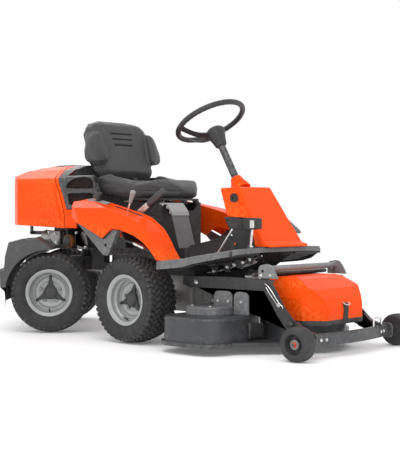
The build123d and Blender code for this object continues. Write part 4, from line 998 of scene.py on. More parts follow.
for side in (-1, 1):
    for window in windows:
        middle = Vector((sum(y for y, _ in window) / len(window), sum(z for _, z in window) / len(window)))
        inner = [tuple(middle + (Vector(point) - middle) * 0.97) for point in window]
        ring = [(side * 279, *point) for point in flowing(inner, 4, closed=True)]
        collars.append(rod(ring, 3.0, cyclic=True, sides=8))
piece("window_collars", smoothed(merged(*collars)), "chassis", "grey_plastic", vent_grey)

mesh_wire = finish("black_mesh_wire", (0.012, 0.010, 0.010), 0.5, metal=0.3, patch=0.4, patch_size=30,
                   worn=(0.16, 0.05, 0.03))
screens = bmesh.new()
for side in (-1, 1):
    for y_low, y_high, z_low, z_high in ((366, 590, 716, 784), (366, 578, 632, 706)):
        across, up = round((y_high - y_low) / 8), round((z_high - z_low) / 8)
        for i in range(across):
            for j in range(up):
                corners = [(side * 270, y_low + 8 * (i + a), z_low + 8 * (j + b)) for a,
                           b in ((0, 0), (1, 0), (1, 1), (0, 1))]
                screens.faces.new([screens.verts.new(Vector(c) * MM) for c in corners])
bmesh.ops.remove_doubles(screens, verts=screens.verts, dist=1e-5)
screen_mesh = bpy.data.meshes.new("screens")
screens.to_mesh(screen_mesh)
screens.free()
screen_mesh = worked(screen_mesh, ("WIREFRAME",
                                   {"thickness": 0.0022, "use_replace": True, "use_even_offset": False}))
piece("window_mesh", smoothed(screen_mesh, weighted=False), "chassis", "black_plastic", mesh_wire)
baffle_finish = finish("foam_air_baffle", (0.012, 0.009, 0.009), 0.9, patch=0.4, patch_size=60)
baffles = [rounded(prism([(372, 630), (372, 780), (590, 786), (580, 630)], "side", *span(side, 257, 260)), 1,
                   1)
           for side in (-1, 1)]
piece("air_baffles", smoothed(merged(*baffles)), "chassis", "black_plastic", baffle_finish)

frame_side = [(500, 524), (500, 618), (578, 618), (640, 757), (700, 848), (724, 848),
              *reversed(hinge_arc(490))]
strip = moulding(frame_side, frame_plan, hood_front_view, radius=5, segments=3, angle=14)
core = mirrored([(-hood_half + 8, 200), (-hood_half + 8, 753), (-266, 774), (-192, 820),
                 (-150, 832), (-106, 842)])
strip = combined(strip, prism(core, "front", 300, 900), "DIFFERENCE")
piece("orange_hood_frame", smoothed(strip), "chassis", "orange_panel", orange_gloss, "hood_frame")


# ---------------------------------------------------------------- seat
# A sprung seat on a folded black base. Cushion and back are moulded foam under one dark grey vinyl skin with
# raised side bolsters, sewn seams and three vent slots; the whole seat tips forward on two pins.
vinyl = finish("dark_seat_vinyl", (0.034, 0.034, 0.035), 0.5, patch=0.10, patch_size=7,
               worn=(0.12, 0.12, 0.12), grain=0.45,
               weave=620.0, sheen=0.15)
base_black = finish("black_seat_base_paint", (0.018, 0.018, 0.018), 0.55, patch=0.25,
                    worn=(0.05, 0.05, 0.05))
dress(base_black, "seat_stand", "seat_pan")


def stuffed(mesh, voxel, cap):
    """Foam swollen against its cover: a fine skin blown out by a short cloth run, no further than the cap."""
    skin = worked(mesh, ("REMESH", {"mode": "VOXEL", "voxel_size": voxel * MM}),
                  ("SMOOTH", {"iterations": 5, "factor": 0.5}))
    rest = [vertex.co.copy() for vertex in skin.vertices]
    body = bpy.data.objects.new("foam", skin)
    bpy.context.scene.collection.objects.link(body)
    cloth = body.modifiers.new("cloth", "CLOTH")
    cloth.settings.quality = 4
    cloth.settings.use_pressure = True
    cloth.settings.uniform_pressure_force = 4
    cloth.settings.effector_weights.gravity = 0
    last_frame = 20
    cloth.point_cache.frame_start = 1
    cloth.point_cache.frame_end = last_frame
    for step in range(1, last_frame + 1):
        bpy.context.scene.frame_set(step)
    view = bpy.context.evaluated_depsgraph_get()
    blown = bpy.data.meshes.new_from_object(body.evaluated_get(view), depsgraph=view)
    bpy.data.objects.remove(body)
    bpy.context.scene.frame_set(1)
    for vertex, start in zip(blown.vertices, rest):
        shift = vertex.co - start
        if shift.length > cap * MM:
            vertex.co = start + shift.normalized() * cap * MM
    skin = worked(blown, ("SMOOTH", {"iterations": 3, "factor": 0.5}))
    return worked(skin, ("SUBSURF", {"levels": 1, "render_levels": 1}))


def stitched(mesh, seams):
    """Seams pressed into a padded skin, each a line of points, a width, a depth and a direction."""
    for line, wide, deep, push in seams:
        points = [Vector(point) * MM for point in line]
        low = Vector([min(p[i] for p in points) - 4 * wide * MM for i in range(3)])
        high = Vector([max(p[i] for p in points) + 4 * wide * MM for i in range(3)])
        way = Vector(push).normalized()
        for vertex in mesh.vertices:
            here = vertex.co
            if any(here[i] < low[i] or here[i] > high[i] for i in range(3)):
                continue
            best = 1.0
            for start, end in zip(points, points[1:]):
                run = end - start
                flat = here - start
                flat -= way * flat.dot(way)
                run_flat = run - way * run.dot(way)
                share = min(1.0, max(0.0, flat.dot(run_flat) / run_flat.length_squared))
                best = min(best, (flat - run_flat * share).length)
            if vertex.normal.dot(way) < -0.2:
                here += way * deep * MM * exp(-((best / (wide * MM)) ** 2))
    return mesh


cushion_side = [
    (-22, 700), (-6, 680), (140, 680), (386, 706), (416, 736), (394, 764), (330, 752), (150, 742),
    (64, 757), (12, 742),
    (-14, 720),
]
nose_plan = [(-48, -22), (-104, 24), (-158, 74), (-197, 117), (-224, 165), (-232, 230)]
cushion_plan = mirrored(nose_plan + [(-230, 326), (-202, 440)])
cushion = rounded(moulding(cushion_side, cushion_plan, radius=16, segments=3, angle=20), 2)
for side in (-1, 1):
    bolster = prism([(150, 690), (386, 708), (414, 738), (404, 790), (380, 794), (330, 776),
                     (210, 754), (165, 746)],
                    "side", *span(side, 168, 231))
    cushion = combined(cushion, rounded(bolster, 11, 3, 20), "UNION")
cushion = stuffed(cushion, 6, 9)
seat_seams = []
for side in (-1, 1):
    seat_seams.append(([(side * 166, 132, 760), (side * 166, 200, 750), (side * 164, 330, 770),
                        (side * 160, 392, 790)],
                       3.2, 4.5, (0, 0, -1)))
    seat_seams.append(([(side * 166, 132, 760), (side * 226, 138, 756)], 3.0, 3.5, (0, 0, -1)))
    seat_seams.append(([(side * 214, 138, 760), (side * 214, 142, 690)], 3.0, 3.5, (-side, 0, 0)))
    seat_seams.append(([(side * 238, 150, 722), (side * 238, 200, 724), (side * 232, 390, 752)], 2.4,
                       2.0, (-side, 0, 0)))
    seat_seams.append(([(side * x, y, 706) for x, y in nose_plan[:-1]], 2.6, 2.5, (0, 1, 0)))
    seat_seams.append(([(side * 100, 134, 760), (side * 96, 350, 760)], 2.6, 2.2, (0, 0, -1)))
seat_seams.append(([(-164, 132, 760), (164, 132, 760)], 3.0, 2.6, (0, 0, -1)))
cushion = stitched(cushion, seat_seams)
seat_low = piece("padded_cushion", smoothed(cushion, 50, False), "seat", "seat_vinyl", vinyl, "seat_cushion")

back_side = [
    (408, 804), (424, 756), (470, 792), (496, 812), (546, 1056), (526, 1080), (502, 1066),
    (470, 985), (444, 900),
]
back_front = mirrored([(-160, 746), (-172, 790), (-184, 850), (-206, 905), (-208, 1000),
                       (-196, 1040), (-166, 1064),
                       (-100, 1082), (-40, 1084)])
back_plan = [(-260, 380), (260, 380), (260, 480), (190, 560), (-190, 560), (-260, 480)]
back = moulding(back_side, back_plan, back_front, radius=13, segments=3, angle=16)
for side in (-1, 1):
    wing_side = [(404, 852), (398, 872), (414, 930), (444, 1006), (466, 1020), (520, 1030),
                 (496, 850), (450, 838)]
    wing_front = [(side * 156, 856), (side * 196, 842), (side * 226, 866), (side * 234, 900),
                  (side * 220, 985),
                  (side * 202, 1020), (side * 166, 1014), (side * 160, 940)]
    wing = combined(prism(wing_side, "side", -300, 300), prism(wing_front, "front", 300, 600), "INTERSECT")
    back = combined(back, rounded(wing, 9, 3, 22), "UNION")
back = stuffed(back, 6, 8)
ahead = (0, 0.93, -0.36)
back_seams = []
for side in (-1, 1):
    back_seams.append(([(side * 118, 520, 1078), (side * 104, 490, 1010), (side * 112, 450, 900),
                        (side * 128, 430, 840)],
                       2.6, 3.2, ahead))
    back_seams.append(([(side * 172, 470, 1000), (side * 176, 440, 930), (side * 178, 420, 880)],
                       2.6, 3.0, ahead))
    back_seams.append(([(side * 172, 470, 1000), (side * 206, 470, 1004)], 2.6, 3.0, ahead))
    back_seams.append(([(side * 178, 420, 880), (side * 222, 420, 884)], 2.6, 3.0, ahead))
    back_seams.append(([(side * 120, 430, 838), (side * 158, 430, 812), (side * 164, 430, 770)],
                       2.8, 3.0, ahead))
back_seams.append(([(-148, 430, 796), (148, 430, 796)], 3.4, 4.0, ahead))
for z, half in ((1004, 74), (975, 68), (946, 62)):
    y = 484 - (1004 - z) * 0.36
    back_seams.append(([(-half, y, z), (half, y, z)], 3.6, 13.0, ahead))
back_seams.append(([(-76, 460, 918), (76, 460, 918)], 2.4, 2.4, ahead))
back = stitched(back, back_seams)
seat_high = piece("padded_back", smoothed(back, 50, False), "seat", "seat_vinyl", vinyl, "seat_back")
# Dark strips set into the three pressed vent slots are painted shade: they darken the grooves where shade
# falls.
slot_shade_strips = []
for z, half in ((1004, 70), (975, 64), (946, 58)):
    y = 484 - (1004 - z) * 0.36
    shade_strip = rounded(prism([(y + 1, z - 4), (y + 2.5, z + 4), (y + 9, z + 3), (y + 8, z - 5)], "side",
                          -half, half), 1.5, 2)
    slot_shade_strips.append(shade_strip)
piece("vent_slot_painted_shade", smoothed(merged(*slot_shade_strips)), "seat", "seat_base", base_black)
rear_cap = moulding([(470, 806), (500, 812), (552, 1054), (544, 1074), (530, 1060), (486, 880)],
                    back_plan, mirrored([(-150, 800), (-190, 860), (-200, 1000), (-158, 1056), (-96, 1074)]),
                    radius=8, segments=3, angle=16)
piece("seat_back_shell", smoothed(rear_cap), "seat", "seat_base", base_black)
bolts("back_shell_screws", [(-120, 500, 840), (120, 500, 840), (-120, 534, 1010), (120, 534, 1010)],
      (0, 1, -0.2), 6,
      "seat", "bright_steel", zinc, dome=True)
drain_rim = rounded(prism([(392, 762), (392, 776), (412, 786), (420, 770)], "side", 16, 44), 3, 2)
piece("drain_hole_rim", smoothed(drain_rim), "seat", "seat_base", base_black)
springs = []
for side in (-1, 1):
    turns = [(side * 120 + 17 * cos(tau * k / 8), 300 + 17 * sin(tau * k / 8),
              654 + 0.22 * k) for k in range(36)]
    springs.append(rod(turns, 1.8, sides=6))
piece("seat_springs", merged(*springs), "chassis", "bright_steel", zinc)

# ---------------------------------------------------------------- steering wheel
# A thin moulded rim on a steel ring, with three flat spokes that drop to a deep cup-shaped hub. The hub's
# shaft turns inside the column as the rear carriage swings.
wheel_black = finish("soft_black_wheel_rubber", (0.03, 0.03, 0.031), 0.48, patch=0.15,
                     worn=(0.09, 0.09, 0.09), grain=0.3,
                     grain_size=1500)
wheel_here = to_place(*column_top) @ Matrix((
    (1, 0, column_axis.x), (0, column_axis.z, column_axis.y), (0, -column_axis.y, column_axis.z),
)).to_4x4()
rim_form = bmesh.new()
ring_steps, grip_steps = 168, 20
ring_verts = []
for k in range(ring_steps):
    a = tau * k / ring_steps
    bump = 0.5 * cos(42 * a)
    loop = []
    for j in range(grip_steps):
        b = tau * j / grip_steps
        thick = 13.0 + (bump if cos(b) < -0.2 else 0) - (0.9 if j in (5, 15) else 0)
        r = 166 + thick * cos(b)
        loop.append(rim_form.verts.new((r * cos(a) * MM, r * sin(a) * MM, thick * sin(b) * MM)))
    ring_verts.append(loop)
for k in range(ring_steps):
    here, there = ring_verts[k], ring_verts[(k + 1) % ring_steps]
    for j in range(grip_steps):
        i = (j + 1) % grip_steps
        rim_form.faces.new((here[j], there[j], there[i], here[i]))
grip = hulled(rim_form, "grip")
spoke_form = bmesh.new()
sections = [(24, -72, 27, 7), (48, -70, 26, 6.5), (84, -62, 21, 5.5), (116, -44, 18, 5), (142, -22, 18, 5),
            (160, -4, 21, 6.5),
            (168, 0, 23, 8)]
loops = []
for r, z, wide, thick in sections:
    loops.append([spoke_form.verts.new((r * MM, x * wide * MM, (z + e * thick) * MM))
                  for x, e in ((-1, -0.4), (-0.8, -1), (0.8, -1), (1, -0.4), (1, 0.4), (0.8, 1),
                               (-0.8, 1), (-1, 0.4))])
for here, there in zip(loops, loops[1:]):
    for j in range(8):
        i = (j + 1) % 8
        spoke_form.faces.new((here[j], there[j], there[i], here[i]))
spoke_form.faces.new(loops[0])
spoke_form.faces.new(loops[-1][::-1])
spoke = hulled(spoke_form, "spoke")
spoke = worked(spoke, ("SUBSURF", {"levels": 2}))
spokes = [moved(spoke, Matrix.Rotation(radians(a), 4, "Z")) for a in (25, 90, 155)]
boss = turned([(-80, 0), (-80, 43), (-76, 46), (-60, 46), (-52, 43), (-47, 36), (-46, 30),
               (-47, 26), (-46, 0)], 72)
boss = moved(boss, aimed((0, 0, 0), (0, 0, 1)))
piece("steering_rim", smoothed(moved(merged(grip, *spokes, boss), wheel_here), 40, False), "steering",
      "black_plastic",
      wheel_black, "steering_wheel")
cup = turned([(-140, 9.2), (-140, 24), (-136, 28), (-112, 33), (-92, 39), (-82, 42), (-79.5, 42),
              (-79.5, 9.2)], 72)
shaft = turned([(-430, 0), (-430, 9), (-79.5, 9), (-79.5, 0)], 32)
hub_mesh = merged(moved(cup, aimed((0, 0, 0), (0, 0, 1))), moved(shaft, aimed((0, 0, 0), (0, 0, 1))))
piece("steering_cup", smoothed(moved(hub_mesh, wheel_here), 40, False), "steering",
      "black_plastic", wheel_black,
      "steering_hub")
seam = [(34 * cos(tau * k / 48), 34 * sin(tau * k / 48), -46) for k in range(48)]
piece("hub_cap_bead", moved(rod(seam, 1.2, cyclic=True), wheel_here), "steering",
      "black_plastic", wheel_black)


# ---------------------------------------------------------------- lift arms
# Two arms of folded plate, welded to two cross tubes, hang from the frame and carry the deck. They dip over
# the belt and run low along the deck to the front beam; a drop hook, a lock pin and a spring clip sit on
# them.
arm_black = finish("black_arm_paint", (0.026, 0.026, 0.028), 0.42, patch=0.2, worn=(0.12, 0.11, 0.10))
arm_line = [
    (-220, 314), (-216, 278), (-250, 266), (-690, 268), (-730, 216), (-760, 170), (-830, 90), (-925, 58),
    (-953, 58), (-953, 104),
    (-890, 122), (-846, 160), (-800, 208), (-764, 262), (-728, 316), (-480, 322),
]
arms = []
for side in (-1, 1):
    solid = prism(arm_line, "side", *span(side, 242, 268))
    pocket_line = [(-250, 276), (-686, 278), (-770, 172), (-836, 100), (-925, 68), (-940, 68),
                   (-940, 94), (-894, 112),
                   (-808, 202), (-736, 306), (-480, 312), (-250, 304)]
    pocket = prism(pocket_line, "side", *span(side, 236, 262))
    arms.append(rounded(combined(solid, pocket, "DIFFERENCE"), 2.4, 3, 20))
for y, z, r in ((-520, 296, 14), (-630, 334, 9)):
    tube = turned([(-267, 0), (-267, r - 1), (-265, r), (265, r), (267, r - 1), (267, 0)], 40)
    arms.append(moved(tube, to_place(0, y, z)))
for side in (-1, 1):
    bead = rod([(side * 240, -520 + 15 * cos(tau * k / 16),
                 296 + 15 * sin(tau * k / 16)) for k in range(16)], 2.2,
               cyclic=True, sides=6)
    arms.append(bead)
piece("folded_lift_arms", smoothed(merged(*arms), 30), "lift", "frame_black", arm_black, "lift_arms")
bolts("arm_pivot_bolts", [(side * 269, y, z) for side in (-1, 1) for y, z in ((-771, 213), (-300, 290))],
      (-1, 0, 0), 8, "lift", "bright_steel", zinc)
bolts("arm_beam_bolts", [(side * 269, -938, 81) for side in (-1, 1)], (-1, 0, 0), 7, "lift",
      "bright_steel", zinc)
knob = turned([(0, 0), (0, 9), (4, 12), (14, 13), (18, 11), (20, 6), (20, 0)], 36)
piece("arm_side_knob", smoothed(moved(knob, aimed((-268, -842, 136), (-1, 0, 0)))), "lift",
      "frame_black", arm_black)
clip_steel = finish("bright_spring_steel", (0.72, 0.72, 0.71), 0.25, metal=1.0, patch=0.08,
                    patch_size=60, grain=0.03)
clip = rod([(-272, -700, 300), (-276, -716, 296), (-278, -744, 268), (-279, -772, 232), (-278, -790, 214),
            (-276, -800, 208), (-273, -796, 200)], 2.6)
second = rod([(-272, -706, 286), (-276, -726, 262), (-277, -748, 240), (-275, -768, 214)], 1.8)
piece("arm_spring_clip", merged(clip, second), "lift", "bright_steel", clip_steel)
coils = []
for k in range(73):
    a = tau * k / 6
    coils.append((-232 + 7 * cos(a), -560 - 1.1 * k, 322 + 7 * sin(a)))
piece("lift_assist_spring", rod(coils, 1.5, sides=6), "lift", "bright_steel", clip_steel)

# ---------------------------------------------------------------- carry handle
# A grey steel tube spans two rounded bracket plates on the arms, for pulling the deck off forwards. The
# plates are bolted through the arms; the right plate is painted grey, like the deck.
deck_grey = finish("dark_grey_deck_paint", (0.050, 0.052, 0.055), 0.34, metal=0.15, patch=0.10,
                   worn=(0.22, 0.22, 0.22))
handle_grey = finish("mid_grey_handle_paint", (0.17, 0.172, 0.175), 0.4, patch=0.07, worn=(0.34, 0.34, 0.34))
bracket_line = [(-652, 322), (-652, 356), (-655, 368), (-662, 376), (-672, 380), (-700, 384),
                (-718, 380), (-732, 366),
                (-746, 344), (-758, 322)]
plates = []
for side in (-1, 1):
    cheek = prism(bracket_line, "side", *span(side, 251, 259))
    bore = moved(turned([(-12, 0), (-12, 7), (12, 7), (12, 0)], 32),
                 aimed((side * 255, -676, 352), (1, 0, 0)))
    plates.append(rounded(combined(cheek, bore, "DIFFERENCE"), 1.6, 2, 40))
tube = turned([(-255, 0), (-255, 12), (-253, 13), (253, 13), (255, 12), (255, 0)], 48)
plates.append(moved(tube, to_place(0, -690, 362)))
for side in (-1, 1):
    collar = turned([(0, 10), (0, 17), (2, 17), (6, 14), (6, 10)], 40)
    plates.append(moved(collar, aimed((side * 251, -690, 362), (-side, 0, 0))))
piece("handle_tube", smoothed(merged(*plates), 32), "lift", "grey_steel", handle_grey, "carry_handle")
bolts("handle_bolts", [(-260, -720, 336), (260, -720, 336), (-260, -668, 334), (260, -668, 334)], (-1, 0, 0),
      6,
      "lift", "bright_steel", zinc)

# ---------------------------------------------------------------- front beam
# A bar of bowed plate carries the two support wheels on welded end plates, with a plated fold-down bail on
# two pinned lugs at its middle for dragging the deck.
arc_points = []
half_span, rise = 290.0, 40.0
arc_radius = (half_span ** 2 + rise ** 2) / (2 * rise)
for k in range(25):
    x = -290 + 580 * k / 24
    arc_points.append((x, -995 + arc_radius - (arc_radius ** 2 - x * x) ** 0.5))
bow = prism(arc_points + [(x, y + 8) for x, y in arc_points[::-1]], "plan", 52, 102)
beam = [rounded(bow, 1.5, 2, 50)]
for side in (-1, 1):
    low, high = span(side, 282, 290)
    ear = prism([(-984, 58), (-976, 45), (-928, 45), (-920, 56), (-920, 98), (-930, 109), (-974, 109),
                 (-984, 96)], "side",
                low, high)
    beam.append(rounded(ear, 1.8, 2, 50))
    stub = turned([(290, 0), (290, 17), (294, 17), (296, 13), (337, 13), (339, 12), (339, 8), (408, 8),
                   (410, 6), (410, 0)],
                  40)
    stub = moved(stub, Matrix.Scale(side, 4, (1, 0, 0)))
    beam.append(moved(stub, to_place(0, -953, 72)))
    gusset = prism([(-962, 54), (-962, 100), (-952, 100), (-952, 54)], "side", *span(side, 268, 283))
    beam.append(rounded(gusset, 1.5, 2, 40))
for low, high in ((151, 155), (195, 199)):
    lug = prism([(-989, 98), (-984, 109), (-978, 116), (-972, 116), (-966, 110), (-966, 98)],
                "side", low, high)
    beam.append(rounded(lug, 0.8, 2, 40))
for low, high in ((145, 155), (195, 205)):
    pin = turned([(low, 0), (low, 2.5), (high, 2.5), (high, 0)], 16)
    beam.append(moved(pin, to_place(0, -975, 111)))
lip = rounded(prism([(x, y) for x, y in arc_points[2:-2]] + [(x, y + 22) for x, y in arc_points[2:-2][::-1]],
                    "plan", 98, 103),
              1.5, 2, 50)
beam.append(lip)
piece("bowed_front_beam", smoothed(merged(*beam), 30), "lift", "deck_grey", deck_grey, "front_beam")
bolts("beam_bolts", [(x, -995 + 0.00048 * x * x, 77) for x in (-236, -206, 206, 236)], (0, -1, 0), 6, "lift",
      "bright_steel", zinc)
bail_points = [(145, -975, 104), (145, -975, 128), (146, -975, 140), (156, -975, 142), (194, -975, 142),
               (204, -975, 140),
               (205, -975, 128), (205, -975, 104)]
piece("fold_down_bail", rod(bail_points, 4.9, order=4), "bail", "bright_steel", clip_steel, "latch_bail")

# ---------------------------------------------------------------- support wheels
# Solid black rubber rollers on grey moulded hubs. Each has a deep recess on its outer face, and a red-capped
# bolt holds it on the axle stub.
roller_black = finish("solid_roller_rubber", (0.028, 0.028, 0.029), 0.62, patch=0.2,
                      worn=(0.08, 0.08, 0.075), grain=0.3,
                      grain_size=1400)
roller_hub = finish("grey_roller_hub", (0.16, 0.16, 0.165), 0.45, patch=0.08)
for side, word in ((-1, "right"), (1, "left")):
    tread = [(-35, 8.2), (-35, 30), (-33, 34), (-35, 52), (-34, 62), (-30, 68), (-22, 71.3), (-12, 72),
             (12, 72), (22, 71.3),
             (30, 68), (34, 62), (35, 52), (34.5, 48), (33, 44), (26, 41.5), (9, 37), (8, 32), (8, 8.2)]
    roller = turned(tread, 96)
    place = to_place(side * 375, -953, 72) @ Matrix.Scale(side, 4, (1, 0, 0))
    body = f"{word}_support"
    piece(f"{word}_roller_tread", smoothed(moved(roller, place), 40), body, "support_tyre", roller_black,
          f"{word}_deck_wheel")
    core = turned([(8, 8.4), (8, 20), (11, 21.5), (23, 21), (25, 19), (25, 12), (22, 10), (22, 8.4)], 48)
    piece(f"{word}_roller_hub", smoothed(moved(core, place), 35), body, "grey_plastic", roller_hub)
    head = turned([(24, 0), (24, 9.5), (31, 9.5), (33, 8), (33, 0)], 6)
    washer = turned([(22.5, 0), (22.5, 14), (24, 14), (24, 0)], 30)
    piece(f"{word}_roller_bolt", smoothed(moved(merged(head, washer), place), 30, False), body,
          "orange_panel", rivet_red)

# ---------------------------------------------------------------- deck shell
# One deep-drawn steel shell, open underneath, painted dark grey. Its rim and the front lobe over the middle
# blade are rolled to a large radius, and a stepped skirt of bolted rubber flap runs round the lower edge.
def oblong(half_width, front, back, radius, steps):
    """A plan outline with four round corners, whose centres lie at the half width and at front and back."""
    corners = ((half_width, front), (half_width, back), (-half_width, back), (-half_width, front))
    line = []
    for quarter, (x, y) in enumerate(corners):
        for k in range(steps + 1):
            a = radians(90 * quarter - 90 + 90 * k / steps)
            line.append((x + radius * cos(a), y + radius * sin(a)))
    return line


deck_outline = oblong(425, -520, -390, 100, 12)
lobe_outline = [(190 * cos(tau * k / 72), -700 + 190 * sin(tau * k / 72)) for k in range(72)]


def grown(outline, by):
    """A plan outline pushed outwards along its own normals."""
    wide = []
    for i, (x, y) in enumerate(outline):
        before, after = outline[i - 1], outline[(i + 1) % len(outline)]
        run = Vector((after[0] - before[0], after[1] - before[1])).normalized()
        wide.append((x + run.y * by, y - run.x * by))
    return wide


def pan(outline, levels, wall):
    """An upturned pan: the plan outline at each (height, growth) level, closed on top, with a wall inside."""
    form = bmesh.new()
    outer = [[form.verts.new(Vector((x, y, z)) * MM) for x, y in grown(outline, by)] for z, by in levels]
    top_z = levels[-1][0]
    inner_levels = [(z, by - wall) for z, by in levels[:-2]] + [(top_z - wall, levels[-1][1] - 2)]
    inner = [[form.verts.new(Vector((x, y, z)) * MM) for x, y in grown(outline, by)] for z,
             by in inner_levels]
    count = len(outline)
    for rings in (outer, inner):
        for here, there in zip(rings, rings[1:]):
            for i in range(count):
                j = (i + 1) % count
                form.faces.new((here[i], here[j], there[j], there[i]))
        form.faces.new(rings[-1])
    for i in range(count):
        j = (i + 1) % count
        form.faces.new((outer[0][i], outer[0][j], inner[0][j], inner[0][i]))
    return hulled(form, "pan")


roll = [(145 + 14 * sin(radians(a)), -14 * (1 - cos(radians(a)))) for a in range(0, 91, 15)]
levels = [(40, 0), (52, 0), (120, 0), (138, 0)] + roll
drum = pan(deck_outline, levels, 3.5)
lobe = pan(lobe_outline, levels, 3.5)
hollow_low = prism(grown(deck_outline, -3.5), "plan", 20, 154)
lobe_cut = prism(grown(lobe_outline, -3.5), "plan", 20, 154)
shell = combined(drum, lobe_cut, "DIFFERENCE")
lobe = combined(lobe, hollow_low, "DIFFERENCE")
shell = merged(shell, lobe)
skirt = prism(grown(deck_outline, 13), "plan", 34, 52)
taper = prism([(-430, -610), (-170, -850), (170, -850), (430, -610), (430, -560), (-430, -560)], "plan", 34,
              52)
lobe_skirt = prism(grown(lobe_outline, 13), "plan", 34, 52)
inside = prism(grown(deck_outline, -5), "plan", 20, 60)
inside_lobe = prism(grown(lobe_outline, -5), "plan", 20, 60)
skirt = combined(combined(skirt, lobe_skirt, "UNION"), taper, "UNION")
skirt = combined(combined(skirt, inside, "DIFFERENCE"), inside_lobe, "DIFFERENCE")
skirt = rounded(skirt, 2.5, 2, 40)
hem = rod([(x, y, 54) for x, y in grown(lobe_outline, 2) if y <= -640], 3.2, sides=8)
top_bead = rod([(x, y, 147) for x, y in grown(deck_outline, 0.5)], 2.0, cyclic=True, sides=8)
deck_mesh = smoothed(merged(shell, skirt, hem, top_bead), 34, False)
piece("drawn_deck_shell", deck_mesh, "deck", "deck_grey", deck_grey, "deck_shell")
# A black block on the deck's front face beside the lobe is painted shade: it stands in for the shadowed face
# there and is not a pocket.
shade_block = rounded(prism([(-300, 60), (-300, 130), (-205, 128), (-196, 60)], "front", -640, -612), 6, 3)
piece("deck_front_painted_shade", smoothed(shade_block), "deck", "frame_black", arm_black)
flap_springs = []
for x in (-196, 196):
    turns = [(x + 9 * cos(tau * k / 8), -640 - 0.45 * k, 150 + 9 * sin(tau * k / 8)) for k in range(56)]
    flap_springs.append(rod(turns, 1.8, sides=6))
piece("deck_side_springs", merged(*flap_springs), "deck", "bright_steel", clip_steel)
bolts("spindle_bolts", [(x + 52 * cos(a), y + 52 * sin(a), 159) for x,
                        y in ((-330, -440), (330, -440), (0, -700))
                        for a in (0.8, 2.4, 4.0, 5.5)], (0, 0, 1), 7, "deck", "bright_steel", zinc)
hanger = []
for side in (-1, 1):
    post = rounded(prism([(-640, 120), (-640, 176), (-612, 176), (-612, 120)], "side",
                         *span(side, 226, 234)), 3, 2)
    hanger.append(post)
piece("deck_hanger_plates", smoothed(merged(*hanger)), "deck", "bright_steel", zinc)

# ---------------------------------------------------------------- belt cover
# A grey pressed cover keeps grass off the three blade pulleys, with an arm reaching forward over the middle
# one. Two upright guards with rounded tops stand on each side beside the lift arms.
cover_paint = finish("grey_belt_cover_paint", (0.13, 0.132, 0.136), 0.4, patch=0.07, worn=(0.3, 0.3, 0.3))
cover_outline = oblong(350, -470, -394, 60, 8)
cover_roll = [(160, 0), (184, 0)] + [(186 + 10 * sin(radians(a)),
                                      -10 * (1 - cos(radians(a)))) for a in range(0, 91, 15)]
tray = pan(cover_outline, cover_roll, 2.5)
neck = rounded(prism([(-60, -500), (-60, -700), (60, -700), (60, -500)], "plan", 160, 195), 8, 3)
nose_pan = pan([(110 * cos(tau * k / 60), -700 + 110 * sin(tau * k / 60)) for k in range(60)],
               cover_roll, 2.5)
ribs = []
for x in (-240, -150, 150, 240):
    ribs.append(rounded(prism([(x - 8, -500), (x - 8, -370), (x + 8, -370), (x + 8, -500)], "plan",
                              193, 196), 1.2, 2))
piece("belt_cover_tray", smoothed(merged(tray, neck, nose_pan, *ribs), 34), "deck",
      "grey_steel", cover_paint,
      "belt_cover")
guards = []
for side in (-1, 1):
    for y, wide, low in ((-476, 104, 193), (-580, 82, 160)):
        half = wide / 2
        top = [(y + half, 238), (y + half - 3, 248), (y + half - 14, 257), (y + half - 28, 260),
               (y - half + 28, 260), (y - half + 14, 257), (y - half + 3, 248), (y - half, 238)]
        cheek = prism([(y + half, low)] + top + [(y - half, low)], "side", *span(side, 280, 288))
        guards.append(rounded(cheek, 1.6, 2, 50))
piece("belt_side_guards", smoothed(merged(*guards), 30), "deck", "grey_steel", cover_paint)
bolts("guard_bolts", [(side * 289, y, 214) for side in (-1, 1) for y in (-446, -506, -580)],
      (-1, 0, 0), 5, "deck",
      "bright_steel", zinc, dome=True)
bolts("cover_screws", [(side * 380, y, 197) for side in (-1, 1) for y in (-380, -484)], (0, 0, 1), 6, "deck",
      "bright_steel", zinc, dome=True)
dress(clip_steel, "centre_blade", "right_blade", "left_blade")

# ---------------------------------------------------------------- nose cover
# A faceted glossy orange cover drops over the front pulley. It is held by a black rubber strap hooked at the
# front centre, and a black band closes its lower edge.
nose_side = [(-640, 322), (-700, 326), (-770, 328), (-806, 318), (-880, 276), (-912, 238),
             (-928, 200), (-930, 186),
             (-925, 146), (-640, 146)]
nose_plan = mirrored([(199, -640), (199, -840), (186, -862), (132, -926), (110, -934)])
nose_front = mirrored([(198, 100), (199, 240), (186, 282), (162, 318), (146, 330)])
nose = moulding(nose_side, nose_plan, nose_front, radius=10, wall=3.5, segments=4, angle=13,
                opening=lambda c, n: n.z < -0.6 or n.y > 0.8)
piece("orange_nose_cover", smoothed(nose), "deck", "orange_panel", orange_gloss, "deck_cover")
facet = moulding([(-690, 325), (-768, 327.5), (-768, 330), (-690, 328)],
                 mirrored([(90, -692), (118, -704), (118, -750), (96, -766)]), radius=1.0,
                 segments=2, angle=30)
piece("nose_top_panel", smoothed(facet), "deck", "orange_panel", orange_gloss)
band = moulding([(-650, 146), (-926, 146), (-922, 124), (-650, 122)],
                mirrored([(200, -650), (200, -842), (134, -930)]),
                radius=3, segments=2, angle=20)
piece("nose_lower_band", smoothed(band), "deck", "frame_black", arm_black)
strap_line = [(0, -926, 217), (0, -932, 200), (0, -934, 186), (0, -930, 146), (0, -926, 128)]
strap_solid = prism([(y, z) for _, y, z in strap_line] + [(y + 7, z - 1) for _, y, z in strap_line[::-1]],
                    "side", -17, 17)
piece("rubber_hold_strap", smoothed(rounded(strap_solid, 2.2, 2, 30)), "deck", "black_plastic", rubber)
hook = rod([(-20, -929, 216), (-20, -938, 210), (0, -941, 206), (20, -938, 210), (20, -929, 216)], 2.6)
piece("strap_hook", hook, "deck", "bright_steel", zinc)


